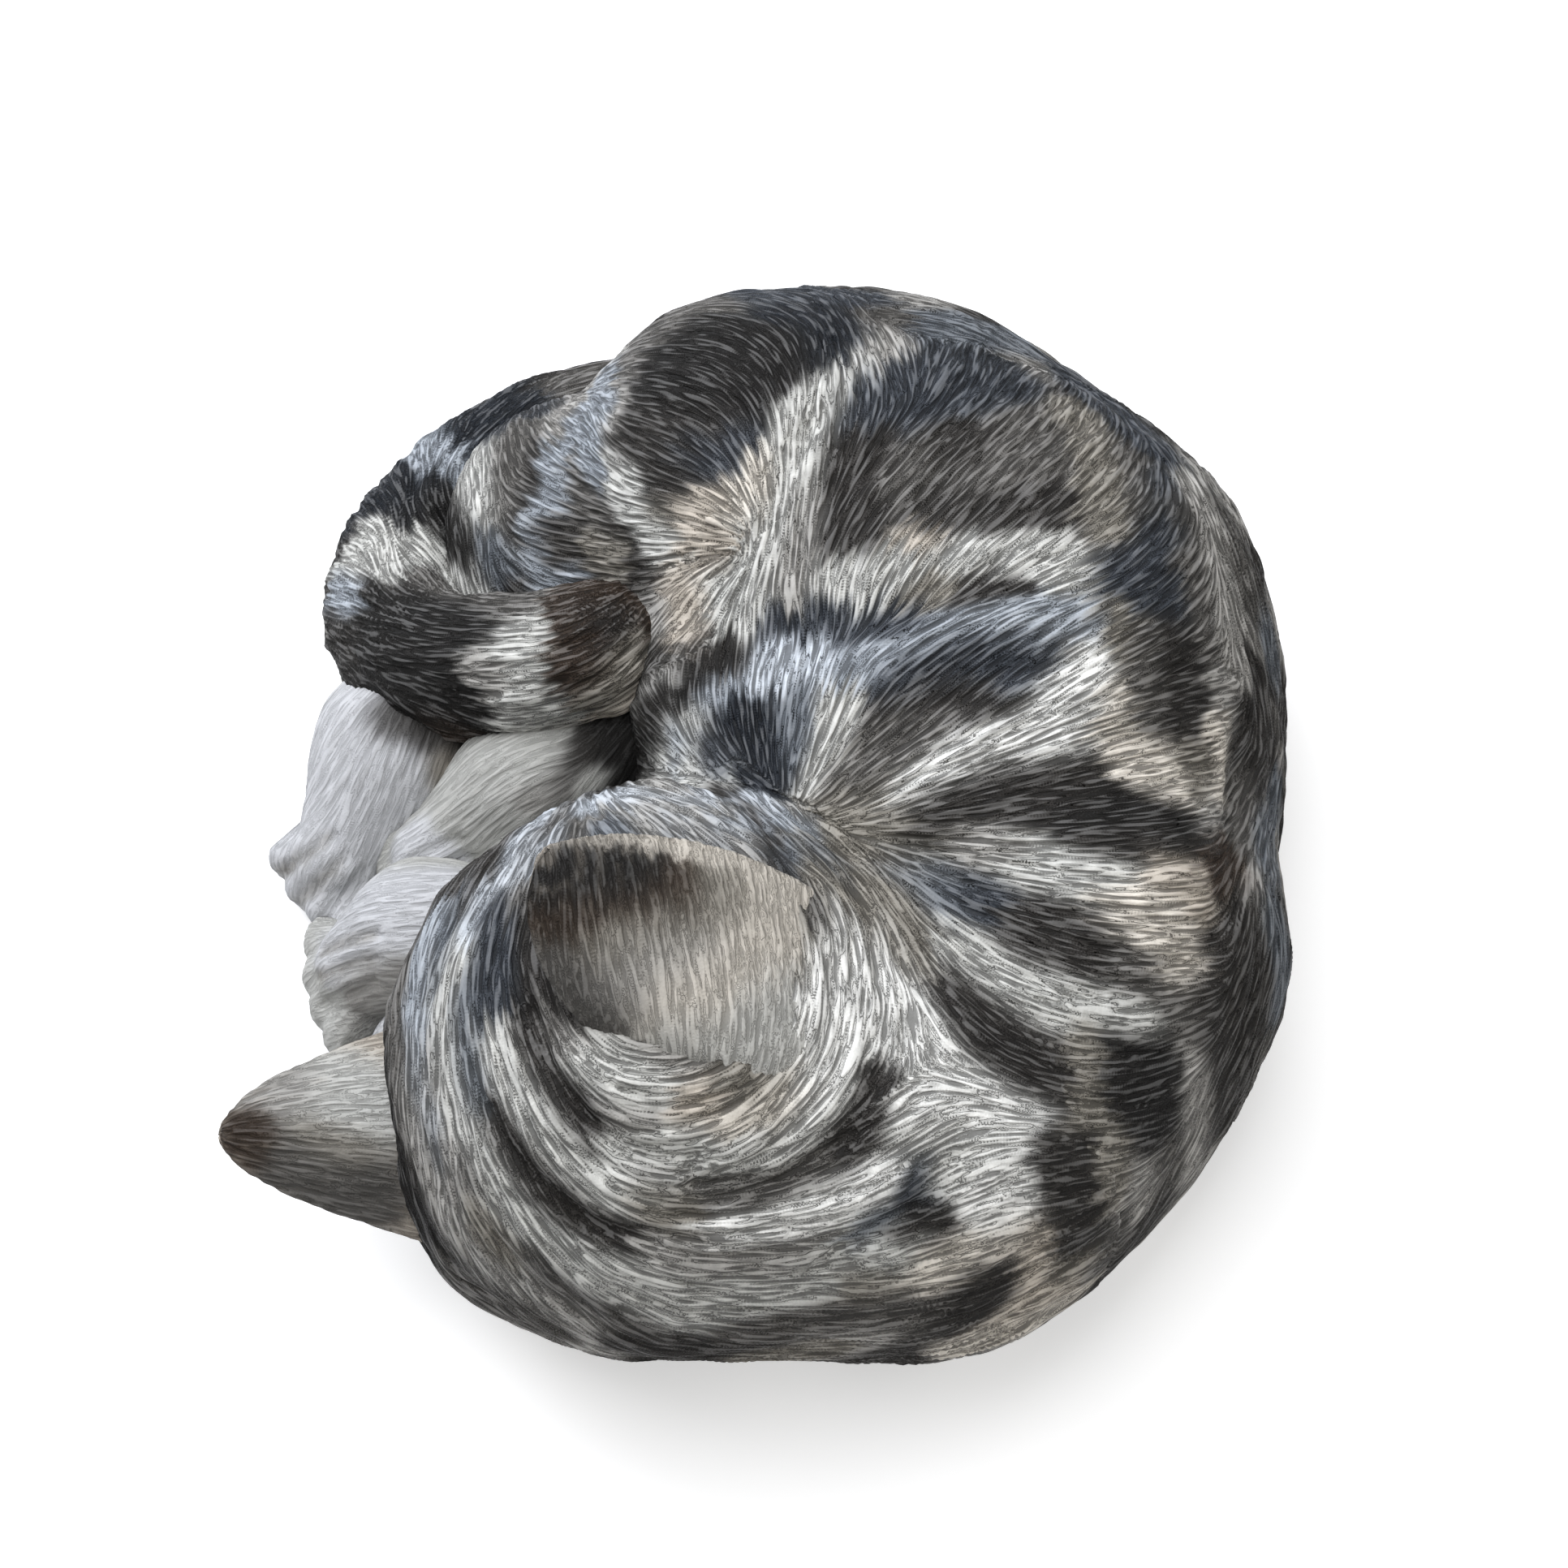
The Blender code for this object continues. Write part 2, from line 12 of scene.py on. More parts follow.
import bpy
import numpy as np
from bpy.props import FloatProperty, FloatVectorProperty, PointerProperty
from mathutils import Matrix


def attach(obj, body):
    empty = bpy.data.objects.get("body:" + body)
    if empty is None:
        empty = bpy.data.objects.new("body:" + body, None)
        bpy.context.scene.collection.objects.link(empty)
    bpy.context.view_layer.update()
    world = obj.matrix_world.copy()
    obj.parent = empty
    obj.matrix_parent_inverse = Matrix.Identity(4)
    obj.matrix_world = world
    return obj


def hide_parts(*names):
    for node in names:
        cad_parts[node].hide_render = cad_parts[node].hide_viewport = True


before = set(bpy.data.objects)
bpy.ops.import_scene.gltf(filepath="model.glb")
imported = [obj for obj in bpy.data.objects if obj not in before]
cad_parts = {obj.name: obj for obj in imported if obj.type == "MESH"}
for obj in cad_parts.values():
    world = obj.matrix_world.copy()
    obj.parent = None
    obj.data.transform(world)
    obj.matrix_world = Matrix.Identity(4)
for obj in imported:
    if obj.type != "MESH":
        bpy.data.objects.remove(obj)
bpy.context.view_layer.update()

bl_info = {
    "name": "Sleeping cat figurine",
    "version": (1, 0, 0),
    "blender": (4, 5, 0),
    "location": "3D View > Sidebar > Figurine",
    "description": "Carved and painted fur on the castings of a sleeping cat",
    "category": "Object",
}

METRES = 0.001
# Underside of the castings: the felt's 1.5 mm and a glue line of 0.3 mm over the floor
FLOOR_OF_CASTING = 1.8

# The photo's camera: frame side and focal length in pixels, target, distance and height above the horizon
PHOTO_SIDE = 1932.0
PHOTO_FOCAL = 2890.0
CAMERA_TARGET = np.array((0.0, 0.0, 30.0))
CAMERA_DISTANCE = 520.0
CAMERA_ELEVATION = math.radians(60.0)
CAMERA_BACK = np.array((0.0, -math.cos(CAMERA_ELEVATION), math.sin(CAMERA_ELEVATION)))
CAMERA_PLACE = CAMERA_TARGET + CAMERA_BACK * CAMERA_DISTANCE
SENSOR_WIDTH = 36.0

# Lumps of the trunk and haunch, the same as the castings': centre, half-axes, turn, width of the melt
BARREL = ((38, 10, 28), (72, 104, 54), 0, 0)
LOIN = ((16, 58, 40), (57, 60, 54), -12, 20)
RIBS = ((55, 22, 44), (46.5, 57, 52), -28, 20)
SHOULDER = ((64, -45, 34), (41, 40, 46), 0, 12)
THIGH = ((-5, 65, 44), (45, 48, 51), 20, 0)
KNEE = ((-6, 38, 40), (27, 25, 30), 0, 14)
RUMP = ((-50, 65, 30), (30, 36, 30), 0, 14)
# Bars of neck and elbow: start, end, radius at each, width of the melt
NECK = ((46, -70, 30), (18, -76, 32), 42, 40, 16)
ELBOW = ((-14, 8, 52), (10, -16, 56), 17, 19, 10)
HAUNCH_MELT = 8
NAPE_MELT = 12

# Folds of the skin over ribs and shoulder: height, negative for a groove, half-width, start, end
FOLDS = (
    (2.0, 7, (6, -4, 80), (66, 6, 93)),
    (-2.2, 6, (-6, 6, 79), (60, 11, 96)),
    (-1.4, 6, (22, -9, 85), (62, -4, 90)),
    (1.6, 8, (20, -32, 78), (76, 0, 87)),
    (-2.2, 5, (97, -4, 60), (90, -42, 70)),
    (-2.0, 5, (90, -42, 70), (74, -71, 70)),
    (-1.6, 6, (31, -68, 73), (53, -90, 67)),
)

# The head: lumps along its left, forward and crown with their half-axes, the nape's bar, and the jowl,
# which lies along the figurine's own axes
HEAD_CENTRE = np.array((-28.0, -72.0, 50.0))
HEAD_CROWN = (-0.735, -0.065, 0.675)
HEAD_LEFT = (0.680, 0.176, 0.710)
SKULL_RADIUS = 50
MUZZLE = ((0, 30, -16), (24, 26, 20))
CHEEK = ((24, 14, -12), (26, 28, 26))
BROW = ((18, 32, 12), (15, 12, 10))
NAPE_START = (0, -12, -6)
NAPE_END = (26, -86, 33)
NAPE_RADII = (48, 43)
JOWL = ((-36, -95, 27), (38, 25, 25))
HEAD_MELT = 14
CHEEK_MELT = 10

# Ears: two ends of the base, tip, bulge of the base, and the powers that shape the outline
EARS = {
    "ear_upper": (((3, -54, 89), (-35, -89, 96.5)), (-41, -64, 118.5), (12, -20, 2), (1.9, 0.62)),
    "ear_lower": (((-76, -57, 36), (-77, -107, 31)), (-111, -88, 46), (2, -4, 13), (0.85, 0.5)),
}
EAR_THICKNESS = 3.5
EAR_TIP_THINNING = 0.5
EAR_HOLLOWING = 0.12
EAR_ROOT_DEPTH = 7.0

# The tail's middle line from the rump to its end, and its radius at each place
TAIL_LINE = (
    (0, 106, 24), (-34, 107, 24), (-64, 95, 24), (-85, 72, 24),
    (-90, 48, 27), (-80, 29, 35), (-60, 21, 45), (-40, 20, 54),
)
TAIL_RADII = (15, 16, 17, 17, 17, 17, 16, 15)

# Feet: three places along the leg, its radii there, and the toes' radius, spacing and direction across
FEET = {
    "hind_foot_outer": (
        ((-70, 28, 24), (-87, 15, 19), (-100, -9, 12.5)), (19, 18, 11.5), (6.6, 7.2, (0.70, -0.71, 0.0))
    ),
    "hind_foot_inner": (
        ((-34, 12, 34), (-58, 0, 28), (-78, -12, 19)), (14, 14, 10), (6.0, 7.0, (0.55, -0.80, -0.24))
    ),
    "front_paw_outer": (
        ((-55, -34, 20), (-78, -33, 20), (-92, -38, 14)), (15, 15, 11), (6.4, 7.6, (0.28, -0.96, 0.0))
    ),
    "front_paw_inner": (
        ((-55, -56, 17), (-70, -56, 15), (-80, -57, 11)), (14, 12, 10), (5.5, 6.0, (0.20, -0.98, 0.0))
    ),
}
TOES = 4
# As shares of a toe's radius: the melt, how far back it sits, how far down, and how high over the floor
TOE_MELT = 0.2
TOE_SETBACK = 0.3
TOE_DROP = 0.3
TOE_CLEARANCE = 0.8

# Where the rays of each skin start, and how the rays are stretched to even out the grid
TRUNK_MIDDLE = np.array((35.0, 0.0, 38.0))
TRUNK_STRETCH = np.array((80.0, 110.0, 55.0))
HAUNCH_MIDDLE = np.array((-20.0, 50.0, 40.0))
HEAD_MIDDLE = np.array((-24.0, -75.0, 48.0))
TOWARDS_CAMERA = np.array((0.0, -0.35, 0.94))
# Where the closed skins of haunch and head have most of their faces, and how strongly they lean to it
HAUNCH_FRONT = TOWARDS_CAMERA + (-0.2, 0.1, 0.0)
HAUNCH_LEAN = 0.42
HEAD_FRONT = TOWARDS_CAMERA + (-0.35, -0.1, 0.0)
HEAD_LEAN = 0.40

# Paints of the silver tabby, as sRGB hex values
PAINTS = {
    "soot": "#1c1b1a",
    "ink": "#1c2026",
    "charcoal": "#302e2c",
    "slate": "#373b41",
    "umber": "#332a23",
    "pewter": "#585653",
    "steel": "#5b6066",
    "stone": "#7b776f",
    "ash": "#908e8a",
    "mist": "#8d939a",
    "sand": "#a49c91",
    "silver": "#b0b0ac",
    # frost: a pale grey whose cool cast is partly painted light, the bluish light from above on faces
    # turned up
    "frost": "#adb3ba",
    "cream": "#c0bab0",
    "white": "#cdcdca",
    "snow": "#c0c1c4",
}

# Run of the fur as strokes in photo pixels, each from the hair's root to its tip
HAUNCH_FLOW = (
    ((600, 530), (603, 580), (602, 640), (595, 700)),
    ((560, 545), (572, 590), (585, 650), (592, 710)),
    ((860, 378), (920, 374), (985, 400), (1010, 450), (1005, 520)),
    ((800, 410), (870, 400), (930, 415), (975, 460), (985, 520), (975, 600)),
    ((770, 440), (850, 430), (920, 450), (960, 500), (968, 580), (955, 640)),
    ((760, 475), (840, 478), (900, 500), (940, 560), (948, 620)),
    ((770, 500), (840, 520), (890, 560), (930, 620)),
    ((735, 520), (745, 545), (775, 575), (830, 600), (880, 620), (915, 645)),
    ((700, 560), (730, 580), (770, 605), (850, 620), (890, 640)),
    ((640, 600), (690, 625), (760, 645), (840, 655), (905, 670)),
    ((640, 660), (690, 670), (750, 672), (830, 675), (890, 678)),
    ((615, 660), (640, 700), (675, 722), (720, 725)),
    ((925, 650), (895, 700), (865, 740), (845, 775)),
    ((885, 690), (860, 712), (838, 742), (822, 762)),
    ((850, 690), (820, 705), (790, 712)),
)
TRUNK_FLOW = (
    ((985, 760), (975, 700), (975, 620), (985, 540), (1000, 480), (1010, 430)),
    ((930, 780), (925, 740), (945, 690), (955, 640)),
    (
        (1010, 760), (1015, 700), (1040, 650), (1070, 600),
        (1120, 550), (1170, 500), (1200, 465), (1205, 440),
    ),
    ((1055, 760), (1058, 710), (1085, 660), (1140, 605), (1200, 550), (1260, 500), (1290, 465)),
    ((1085, 770), (1120, 705), (1170, 640), (1230, 580), (1290, 530), (1325, 485)),
    ((1130, 760), (1180, 700), (1240, 640), (1310, 580), (1360, 530), (1372, 505)),
    ((1170, 750), (1240, 690), (1310, 635), (1370, 580), (1400, 535)),
    ((1080, 800), (1150, 770), (1230, 748), (1320, 735), (1390, 700), (1430, 650), (1445, 615)),
    ((1250, 722), (1320, 690), (1380, 660), (1420, 620), (1428, 575)),
    ((1350, 748), (1410, 720), (1450, 690), (1475, 650), (1470, 610)),
    (
        (1565, 900), (1560, 850), (1540, 780), (1512, 690),
        (1468, 610), (1400, 530), (1330, 472), (1262, 440),
    ),
    ((1240, 425), (1180, 400), (1130, 390), (1085, 385)),
    ((1100, 470), (1085, 435), (1068, 400), (1050, 375)),
    ((945, 985), (943, 900), (940, 830), (950, 795)),
    ((880, 955), (862, 920), (850, 880), (850, 850)),
    ((860, 960), (830, 930), (805, 905)),
    ((970, 985), (985, 910), (1000, 850), (1010, 800), (1012, 770)),
    ((985, 985), (1020, 910), (1045, 850), (1070, 805)),
    ((1005, 985), (1060, 935), (1120, 880), (1180, 820), (1240, 775)),
    ((1015, 1000), (1080, 955), (1150, 905), (1220, 850), (1290, 800), (1330, 770)),
    ((1030, 1010), (1110, 965), (1200, 920), (1290, 870), (1360, 830), (1420, 800)),
    ((1050, 1015), (1140, 980), (1240, 940), (1340, 905), (1430, 882), (1500, 868)),
    ((1070, 1020), (1170, 1002), (1280, 985), (1390, 960), (1480, 945)),
    ((1080, 1030), (1200, 1025), (1320, 1022), (1430, 1015), (1500, 1000)),
    ((1090, 1035), (1200, 1050), (1310, 1065), (1420, 1068), (1500, 1055)),
    ((1090, 1040), (1180, 1075), (1290, 1105), (1400, 1122), (1500, 1118)),
    ((1085, 1045), (1160, 1105), (1250, 1150), (1360, 1185), (1470, 1190)),
    ((1070, 1050), (1130, 1120), (1210, 1185), (1310, 1235), (1420, 1255), (1480, 1235)),
    ((1100, 1120), (1160, 1200), (1230, 1265), (1320, 1305), (1420, 1300), (1480, 1270)),
    ((1110, 1160), (1145, 1240), (1200, 1300), (1280, 1345), (1370, 1370), (1430, 1345)),
    ((1180, 1345), (1260, 1372), (1350, 1382), (1430, 1368)),
    ((1240, 1410), (1320, 1405), (1400, 1395)),
    ((1240, 1480), (1320, 1478), (1380, 1465)),
    ((1390, 1540), (1440, 1460), (1475, 1385), (1503, 1310), (1535, 1240), (1550, 1160), (1550, 1090)),
    ((1505, 1400), (1545, 1320), (1575, 1240), (1578, 1150), (1560, 1080), (1572, 1000), (1580, 900)),
    ((1505, 1130), (1515, 1075), (1545, 1010), (1560, 960)),
)
HEAD_FLOW = (
    (
        (690, 990), (640, 1040), (590, 1100), (550, 1180), (530, 1260),
        (528, 1340), (535, 1420), (555, 1500), (580, 1560),
    ),
    (
        (690, 1010), (650, 1075), (612, 1150), (600, 1220),
        (608, 1290), (630, 1360), (665, 1430), (710, 1490),
    ),
    ((710, 1490), (770, 1525), (850, 1545), (950, 1550), (1050, 1540), (1150, 1520)),
    (
        (640, 1130), (628, 1190), (640, 1260), (665, 1320),
        (700, 1390), (740, 1440), (800, 1465), (880, 1475),
    ),
    ((880, 1475), (960, 1460), (1030, 1430), (1080, 1400)),
    ((650, 1200), (675, 1280), (705, 1345), (750, 1385), (810, 1398), (880, 1385)),
    ((880, 1385), (940, 1350), (980, 1300)),
    ((700, 1290), (740, 1325), (800, 1340)),
    ((800, 1340), (860, 1330), (920, 1300), (950, 1250)),
    ((480, 1290), (478, 1360), (488, 1430), (510, 1490)),
    ((500, 1210), (500, 1300), (503, 1400), (515, 1480), (550, 1560), (600, 1600)),
    (
        (570, 1180), (560, 1250), (565, 1330), (585, 1420),
        (615, 1500), (660, 1570), (730, 1630), (800, 1662),
    ),
    (
        (580, 1230), (590, 1320), (620, 1410), (660, 1480),
        (710, 1540), (780, 1585), (870, 1600), (980, 1600),
    ),
    ((980, 1600), (1100, 1600), (1200, 1588)),
    ((760, 1600), (830, 1640), (920, 1655), (1020, 1652), (1120, 1645), (1200, 1620), (1260, 1590)),
    ((1000, 1100), (1012, 1160), (1020, 1230), (1010, 1310), (975, 1370), (925, 1420), (860, 1450)),
    ((1030, 1080), (1070, 1150), (1083, 1230), (1065, 1310), (1020, 1380), (960, 1430), (880, 1460)),
    ((1060, 1090), (1100, 1150), (1120, 1220), (1125, 1270)),
    ((900, 1490), (980, 1480), (1060, 1450), (1130, 1410), (1190, 1375)),
    ((950, 1510), (1050, 1500), (1120, 1465), (1180, 1430), (1240, 1412)),
    ((1100, 1540), (1180, 1500), (1250, 1462), (1320, 1442)),
    ((1180, 1590), (1260, 1560), (1330, 1530), (1400, 1470)),
    ((1180, 1640), (1260, 1600), (1330, 1570), (1390, 1530)),
    ((710, 975), (745, 1005), (780, 1030)),
    ((790, 975), (850, 988), (900, 1020), (960, 1055), (1010, 1078)),
    ((880, 965), (920, 1000), (970, 1040), (1030, 1080), (1070, 1120)),
    ((960, 990), (1010, 1035), (1070, 1080), (1110, 1120), (1160, 1180)),
    ((650, 1000), (610, 1050), (575, 1110), (545, 1160)),
)
TAIL_FLOW = (
    ((660, 480), (630, 520), (607, 560), (600, 620), (605, 680)),
    ((560, 530), (570, 600), (580, 650), (600, 700)),
    ((520, 560), (540, 610), (570, 660), (600, 710)),
    ((480, 600), (520, 640), (560, 680), (600, 725)),
    ((440, 640), (480, 660), (540, 690), (590, 730)),
    ((415, 700), (460, 715), (530, 735), (600, 748), (680, 755)),
    ((410, 750), (460, 762), (540, 768), (620, 767), (680, 760), (740, 730)),
    ((420, 790), (460, 812), (520, 822), (580, 812), (650, 805), (710, 790), (760, 750), (800, 725)),
    ((425, 810), (465, 845), (520, 885)),
    ((520, 830), (570, 855), (620, 866), (680, 860), (740, 835), (790, 785), (815, 750)),
    ((540, 880), (600, 902), (660, 908), (730, 900), (790, 860), (825, 810)),
)
# Run of the fur where the camera doesn't look: places on the trunk's outside, in millimetres
OUTSIDE_FLOW = (
    ((-20, -122, 12), (30, -122, 12), (72, -100, 12), (98, -62, 12), (110, -10, 12), (106, 45, 10)),
    ((0, -118, 30), (40, -112, 30), (85, -85, 30), (104, -50, 30), (112, 0, 32), (106, 50, 30)),
    ((106, 50, 30), (86, 84, 30), (50, 110, 28), (5, 120, 28), (-40, 108, 26)),
    ((106, 45, 10), (84, 84, 10), (48, 108, 10), (0, 118, 10), (-50, 100, 10)),
    ((95, 60, 55), (70, 85, 60), (30, 108, 60), (-20, 108, 55)),
)
# Run of the fur on the face, along the head's left, forward and crown, in millimetres
FACE_FLOW = (
    ((0, 56, -8), (0, 47, 14), (0, 36, 34), (0, 12, 48)),
    ((6, 55, -8), (12, 46, 16), (18, 30, 36), (20, 6, 46)),
    ((-6, 55, -8), (-12, 46, 16), (-18, 30, 36), (-20, 6, 46)),
    ((10, 54, -14), (26, 40, -8), (42, 22, 2), (50, 0, 6)),
    ((-10, 54, -14), (-26, 40, -8), (-42, 22, 2), (-50, 0, 6)),
    ((12, 50, -24), (30, 34, -24), (46, 12, -20), (50, -10, -10)),
    ((-12, 50, -24), (-30, 34, -24), (-46, 12, -20), (-50, -10, -10)),
    ((0, 52, -30), (0, 34, -40), (0, 8, -48)),
)

# Paint of trunk, haunch and head: paint, radius of the brush in millimetres, stroke in photo pixels
COAT_MARKS = (
    ("soot", 6, ((850, 420), (900, 415), (950, 435), (985, 420))),
    ("soot", 6, ((820, 475), (870, 480), (925, 470))),
    ("ink", 5, ((960, 385), (1000, 395), (1015, 430))),
    ("charcoal", 5, ((790, 520), (850, 530), (890, 500))),
    ("slate", 4, ((850, 560), (895, 545), (900, 520))),
    ("charcoal", 4, ((835, 590), (825, 605))),
    ("pewter", 4, ((780, 430), (830, 395), (880, 372))),
    ("slate", 4, ((920, 362), (1000, 358), (1060, 368))),
    ("pewter", 3, ((1085, 385), (1110, 395))),
    ("mist", 3, ((745, 465), (728, 500), (722, 545), (730, 575))),
    ("mist", 3, ((735, 495), (705, 535), (680, 575), (665, 610), (655, 640))),
    ("charcoal", 2.2, ((655, 560), (642, 590), (634, 625), (628, 650))),
    ("pewter", 3.5, ((640, 535), (622, 570), (615, 610), (612, 640))),
    ("ink", 5, ((600, 500), (640, 495), (660, 500))),
    ("silver", 5, ((560, 560), (585, 600), (598, 640))),
    ("steel", 3, ((605, 655), (600, 690))),
    ("soot", 4, ((550, 625), (565, 655), (578, 690))),
    ("silver", 3, ((560, 700), (585, 720))),
    ("charcoal", 2.2, ((672, 648), (680, 675), (690, 690))),
    ("pewter", 2.2, ((700, 560), (705, 600), (725, 630), (745, 655))),
    ("silver", 3, ((755, 590), (785, 615), (800, 650), (830, 670))),
    ("cream", 3, ((935, 575), (925, 610), (912, 640))),
    ("sand", 4, ((865, 615), (865, 650), (862, 690))),
    ("silver", 4, ((870, 725), (910, 745), (930, 735))),
    ("sand", 3, ((845, 705), (840, 740), (850, 770))),
    ("pewter", 2, ((680, 665), (684, 678))),
    ("mist", 2, ((652, 690), (680, 722), (705, 712))),
    ("stone", 3, ((735, 665), (750, 690))),
    ("stone", 2.5, ((815, 628), (835, 625))),
    ("charcoal", 3, ((865, 825), (905, 805))),
    ("slate", 3, ((955, 775), (1000, 772), (1050, 776), (1100, 765), (1130, 768))),
    ("silver", 4, ((1000, 510), (985, 545), (975, 590), (960, 650), (935, 700))),
    ("silver", 3, ((1010, 500), (1035, 470), (1070, 448))),
    ("ash", 3, ((1080, 440), (1105, 425))),
    ("ash", 4, ((985, 620), (975, 680), (975, 730))),
    ("slate", 6, ((1070, 500), (1110, 475), (1170, 465), (1230, 470))),
    ("charcoal", 5, ((1060, 540), (1055, 600), (1050, 655))),
    ("pewter", 5, ((1100, 590), (1150, 570), (1180, 610))),
    ("charcoal", 4, ((1180, 545), (1150, 620), (1220, 625), (1280, 620))),
    ("pewter", 5, ((1230, 575), (1280, 560), (1270, 520))),
    ("stone", 4, ((1320, 505), (1345, 550), (1365, 600), (1372, 635))),
    ("steel", 4, ((1150, 405), (1210, 405), (1260, 425))),
    ("slate", 4, ((1300, 448), (1350, 488), (1390, 520), (1420, 555))),
    ("slate", 3.5, ((1425, 590), (1430, 640), (1422, 680))),
    ("pewter", 4, ((1395, 560), (1400, 620), (1440, 620))),
    ("slate", 4, ((1390, 715), (1430, 715), (1450, 740))),
    ("pewter", 3, ((1460, 690), (1470, 740), (1480, 780))),
    ("ash", 3, ((1462, 590), (1490, 640), (1505, 690), (1518, 740), (1522, 790), (1520, 820))),
    ("pewter", 3, ((1500, 620), (1530, 690), (1550, 760))),
    ("silver", 4, ((1015, 720), (1060, 714), (1110, 690))),
    ("silver", 3, ((1160, 688), (1230, 675), (1300, 685), (1320, 710))),
    ("sand", 2.5, ((1110, 668), (1150, 668))),
    ("charcoal", 2.5, ((1190, 735), (1230, 727), (1262, 722))),
    ("stone", 2.5, ((1120, 740), (1160, 728))),
    ("mist", 3, ((1100, 800), (1150, 782), (1200, 764), (1250, 755), (1300, 755), (1335, 766))),
    ("mist", 3, ((1040, 815), (1075, 812))),
    # Frost on top of the elbow: pale paint and painted cool light from above
    ("frost", 3.5, ((935, 818), (975, 815), (1010, 815))),
    ("mist", 2.5, ((870, 860), (905, 840))),
    ("slate", 4.5, ((1120, 830), (1190, 812), (1260, 822))),
    ("charcoal", 4, ((1120, 865), (1170, 855), (1230, 865))),
    ("pewter", 4, ((1090, 905), (1150, 895), (1040, 965), (1080, 930))),
    ("ink", 4, ((900, 895), (925, 885), (945, 925), (955, 955))),
    ("slate", 3, ((870, 925), (885, 945))),
    ("steel", 3, ((975, 870), (975, 930))),
    ("mist", 2.5, ((835, 915), (828, 955))),
    ("soot", 3, ((805, 885), (790, 915), (800, 955))),
    ("soot", 2.2, ((905, 812), (870, 838), (835, 862))),
    ("soot", 3, ((780, 905), (770, 945), (750, 960))),
    ("charcoal", 3, ((815, 880), (790, 900))),
    ("silver", 3, ((1035, 870), (1020, 920), (1000, 965))),
    ("white", 4.5, ((1345, 830), (1320, 865), (1280, 895), (1220, 922), (1160, 943), (1110, 975))),
    ("cream", 4, ((1375, 860), (1380, 905), (1410, 945), (1440, 960))),
    ("stone", 3, ((1370, 765), (1385, 800))),
    ("pewter", 3, ((1405, 790), (1412, 840), (1415, 890))),
    ("charcoal", 3.5, ((1450, 790), (1455, 840), (1460, 885))),
    ("stone", 2.5, ((1470, 925), (1475, 965))),
    ("cream", 1.8, ((1500, 895), (1503, 940), (1503, 985))),
    ("charcoal", 4, ((1545, 880), (1555, 915), (1555, 950))),
    ("charcoal", 3, ((1578, 870), (1584, 920))),
    ("steel", 3, ((1560, 770), (1570, 815))),
    ("charcoal", 4, ((1130, 1008), (1180, 985), (1230, 965), (1280, 975), (1330, 985))),
    ("soot", 4, ((1330, 1005), (1390, 1008), (1440, 1010))),
    ("charcoal", 3.5, ((1340, 1030), (1400, 1035), (1440, 1025))),
    ("umber", 2.5, ((1495, 1075), (1515, 1055))),
    ("pewter", 3, ((1525, 1030), (1520, 995), (1530, 965))),
    ("steel", 3, ((1560, 1060), (1562, 1020), (1575, 980))),
    ("ash", 3, ((1190, 1040), (1240, 1050))),
    ("silver", 3.5, ((1250, 1060), (1310, 1073), (1370, 1080))),
    ("cream", 4, ((1380, 1105), (1420, 1130), (1450, 1165), (1470, 1190))),
    ("sand", 3, ((1420, 1062), (1465, 1085), (1480, 1120))),
    ("slate", 3, ((1175, 1095), (1220, 1115))),
    ("charcoal", 4.5, ((1250, 1135), (1300, 1160), (1350, 1175))),
    ("pewter", 3, ((1370, 1185), (1420, 1212))),
    ("steel", 4, ((1090, 1060), (1140, 1085), (1170, 1110))),
    ("steel", 3, ((1010, 1050), (1040, 1070))),
    ("silver", 4, ((1180, 1165), (1220, 1200), (1270, 1225), (1320, 1232))),
    ("silver", 3, ((1350, 1240), (1410, 1255))),
    ("charcoal", 4.5, ((1180, 1220), (1215, 1265), (1255, 1305), (1295, 1335))),
    ("soot", 3, ((1220, 1280), (1270, 1315))),
    ("stone", 3, ((1330, 1280), (1345, 1320), (1330, 1365))),
    ("soot", 5, ((1380, 1310), (1415, 1330), (1425, 1380))),
    ("pewter", 3, ((1440, 1420), (1445, 1440))),
    ("charcoal", 7, ((1510, 1210), (1530, 1255), (1515, 1310), (1520, 1335))),
    ("pewter", 3, ((1455, 1235), (1475, 1265))),
    ("ash", 3, ((1470, 1305), (1475, 1345), (1480, 1385), (1470, 1425))),
    ("ash", 3, ((1400, 1440), (1405, 1480))),
    ("steel", 3.5, ((1572, 1130), (1582, 1185), (1578, 1230))),
    ("white", 6, ((1060, 1150), (1080, 1220), (1110, 1270), (1150, 1330), (1190, 1375), (1250, 1378))),
    ("white", 5, ((1010, 1220), (1020, 1290), (1000, 1350))),
    ("charcoal", 4.5, ((1295, 1425), (1320, 1460), (1335, 1500), (1325, 1535))),
    ("stone", 3, ((1375, 1410), (1370, 1470))),
    ("pewter", 3, ((1375, 1530), (1350, 1560))),
    ("white", 4, ((1235, 1430), (1220, 1480), (1240, 1510))),
    ("sand", 3.5, ((1260, 1530), (1270, 1570))),
    ("slate", 3.5, ((1150, 1445), (1130, 1475))),
    ("charcoal", 3, ((1125, 1500), (1165, 1505))),
    ("steel", 3, ((1060, 1530), (1085, 1505))),
    ("charcoal", 3.5, ((1220, 1560), (1205, 1600), (1180, 1620))),
    ("pewter", 3, ((1100, 1612), (1150, 1622))),
    ("stone", 3, ((1300, 1570), (1340, 1560))),
    ("cream", 3.5, ((1190, 1660), (1260, 1625), (1320, 1600))),
    # Frost on the head's upper left: pale paint and painted cool light from above
    ("frost", 3, ((675, 1000), (650, 1050), (640, 1090))),
    ("frost", 2.2, ((590, 1090), (577, 1130), (575, 1165))),
    ("steel", 3, ((556, 1120), (548, 1170), (540, 1215))),
    ("mist", 3.5, ((540, 1130), (515, 1180), (500, 1230))),
    ("pewter", 3, ((500, 1200), (488, 1250), (482, 1310))),
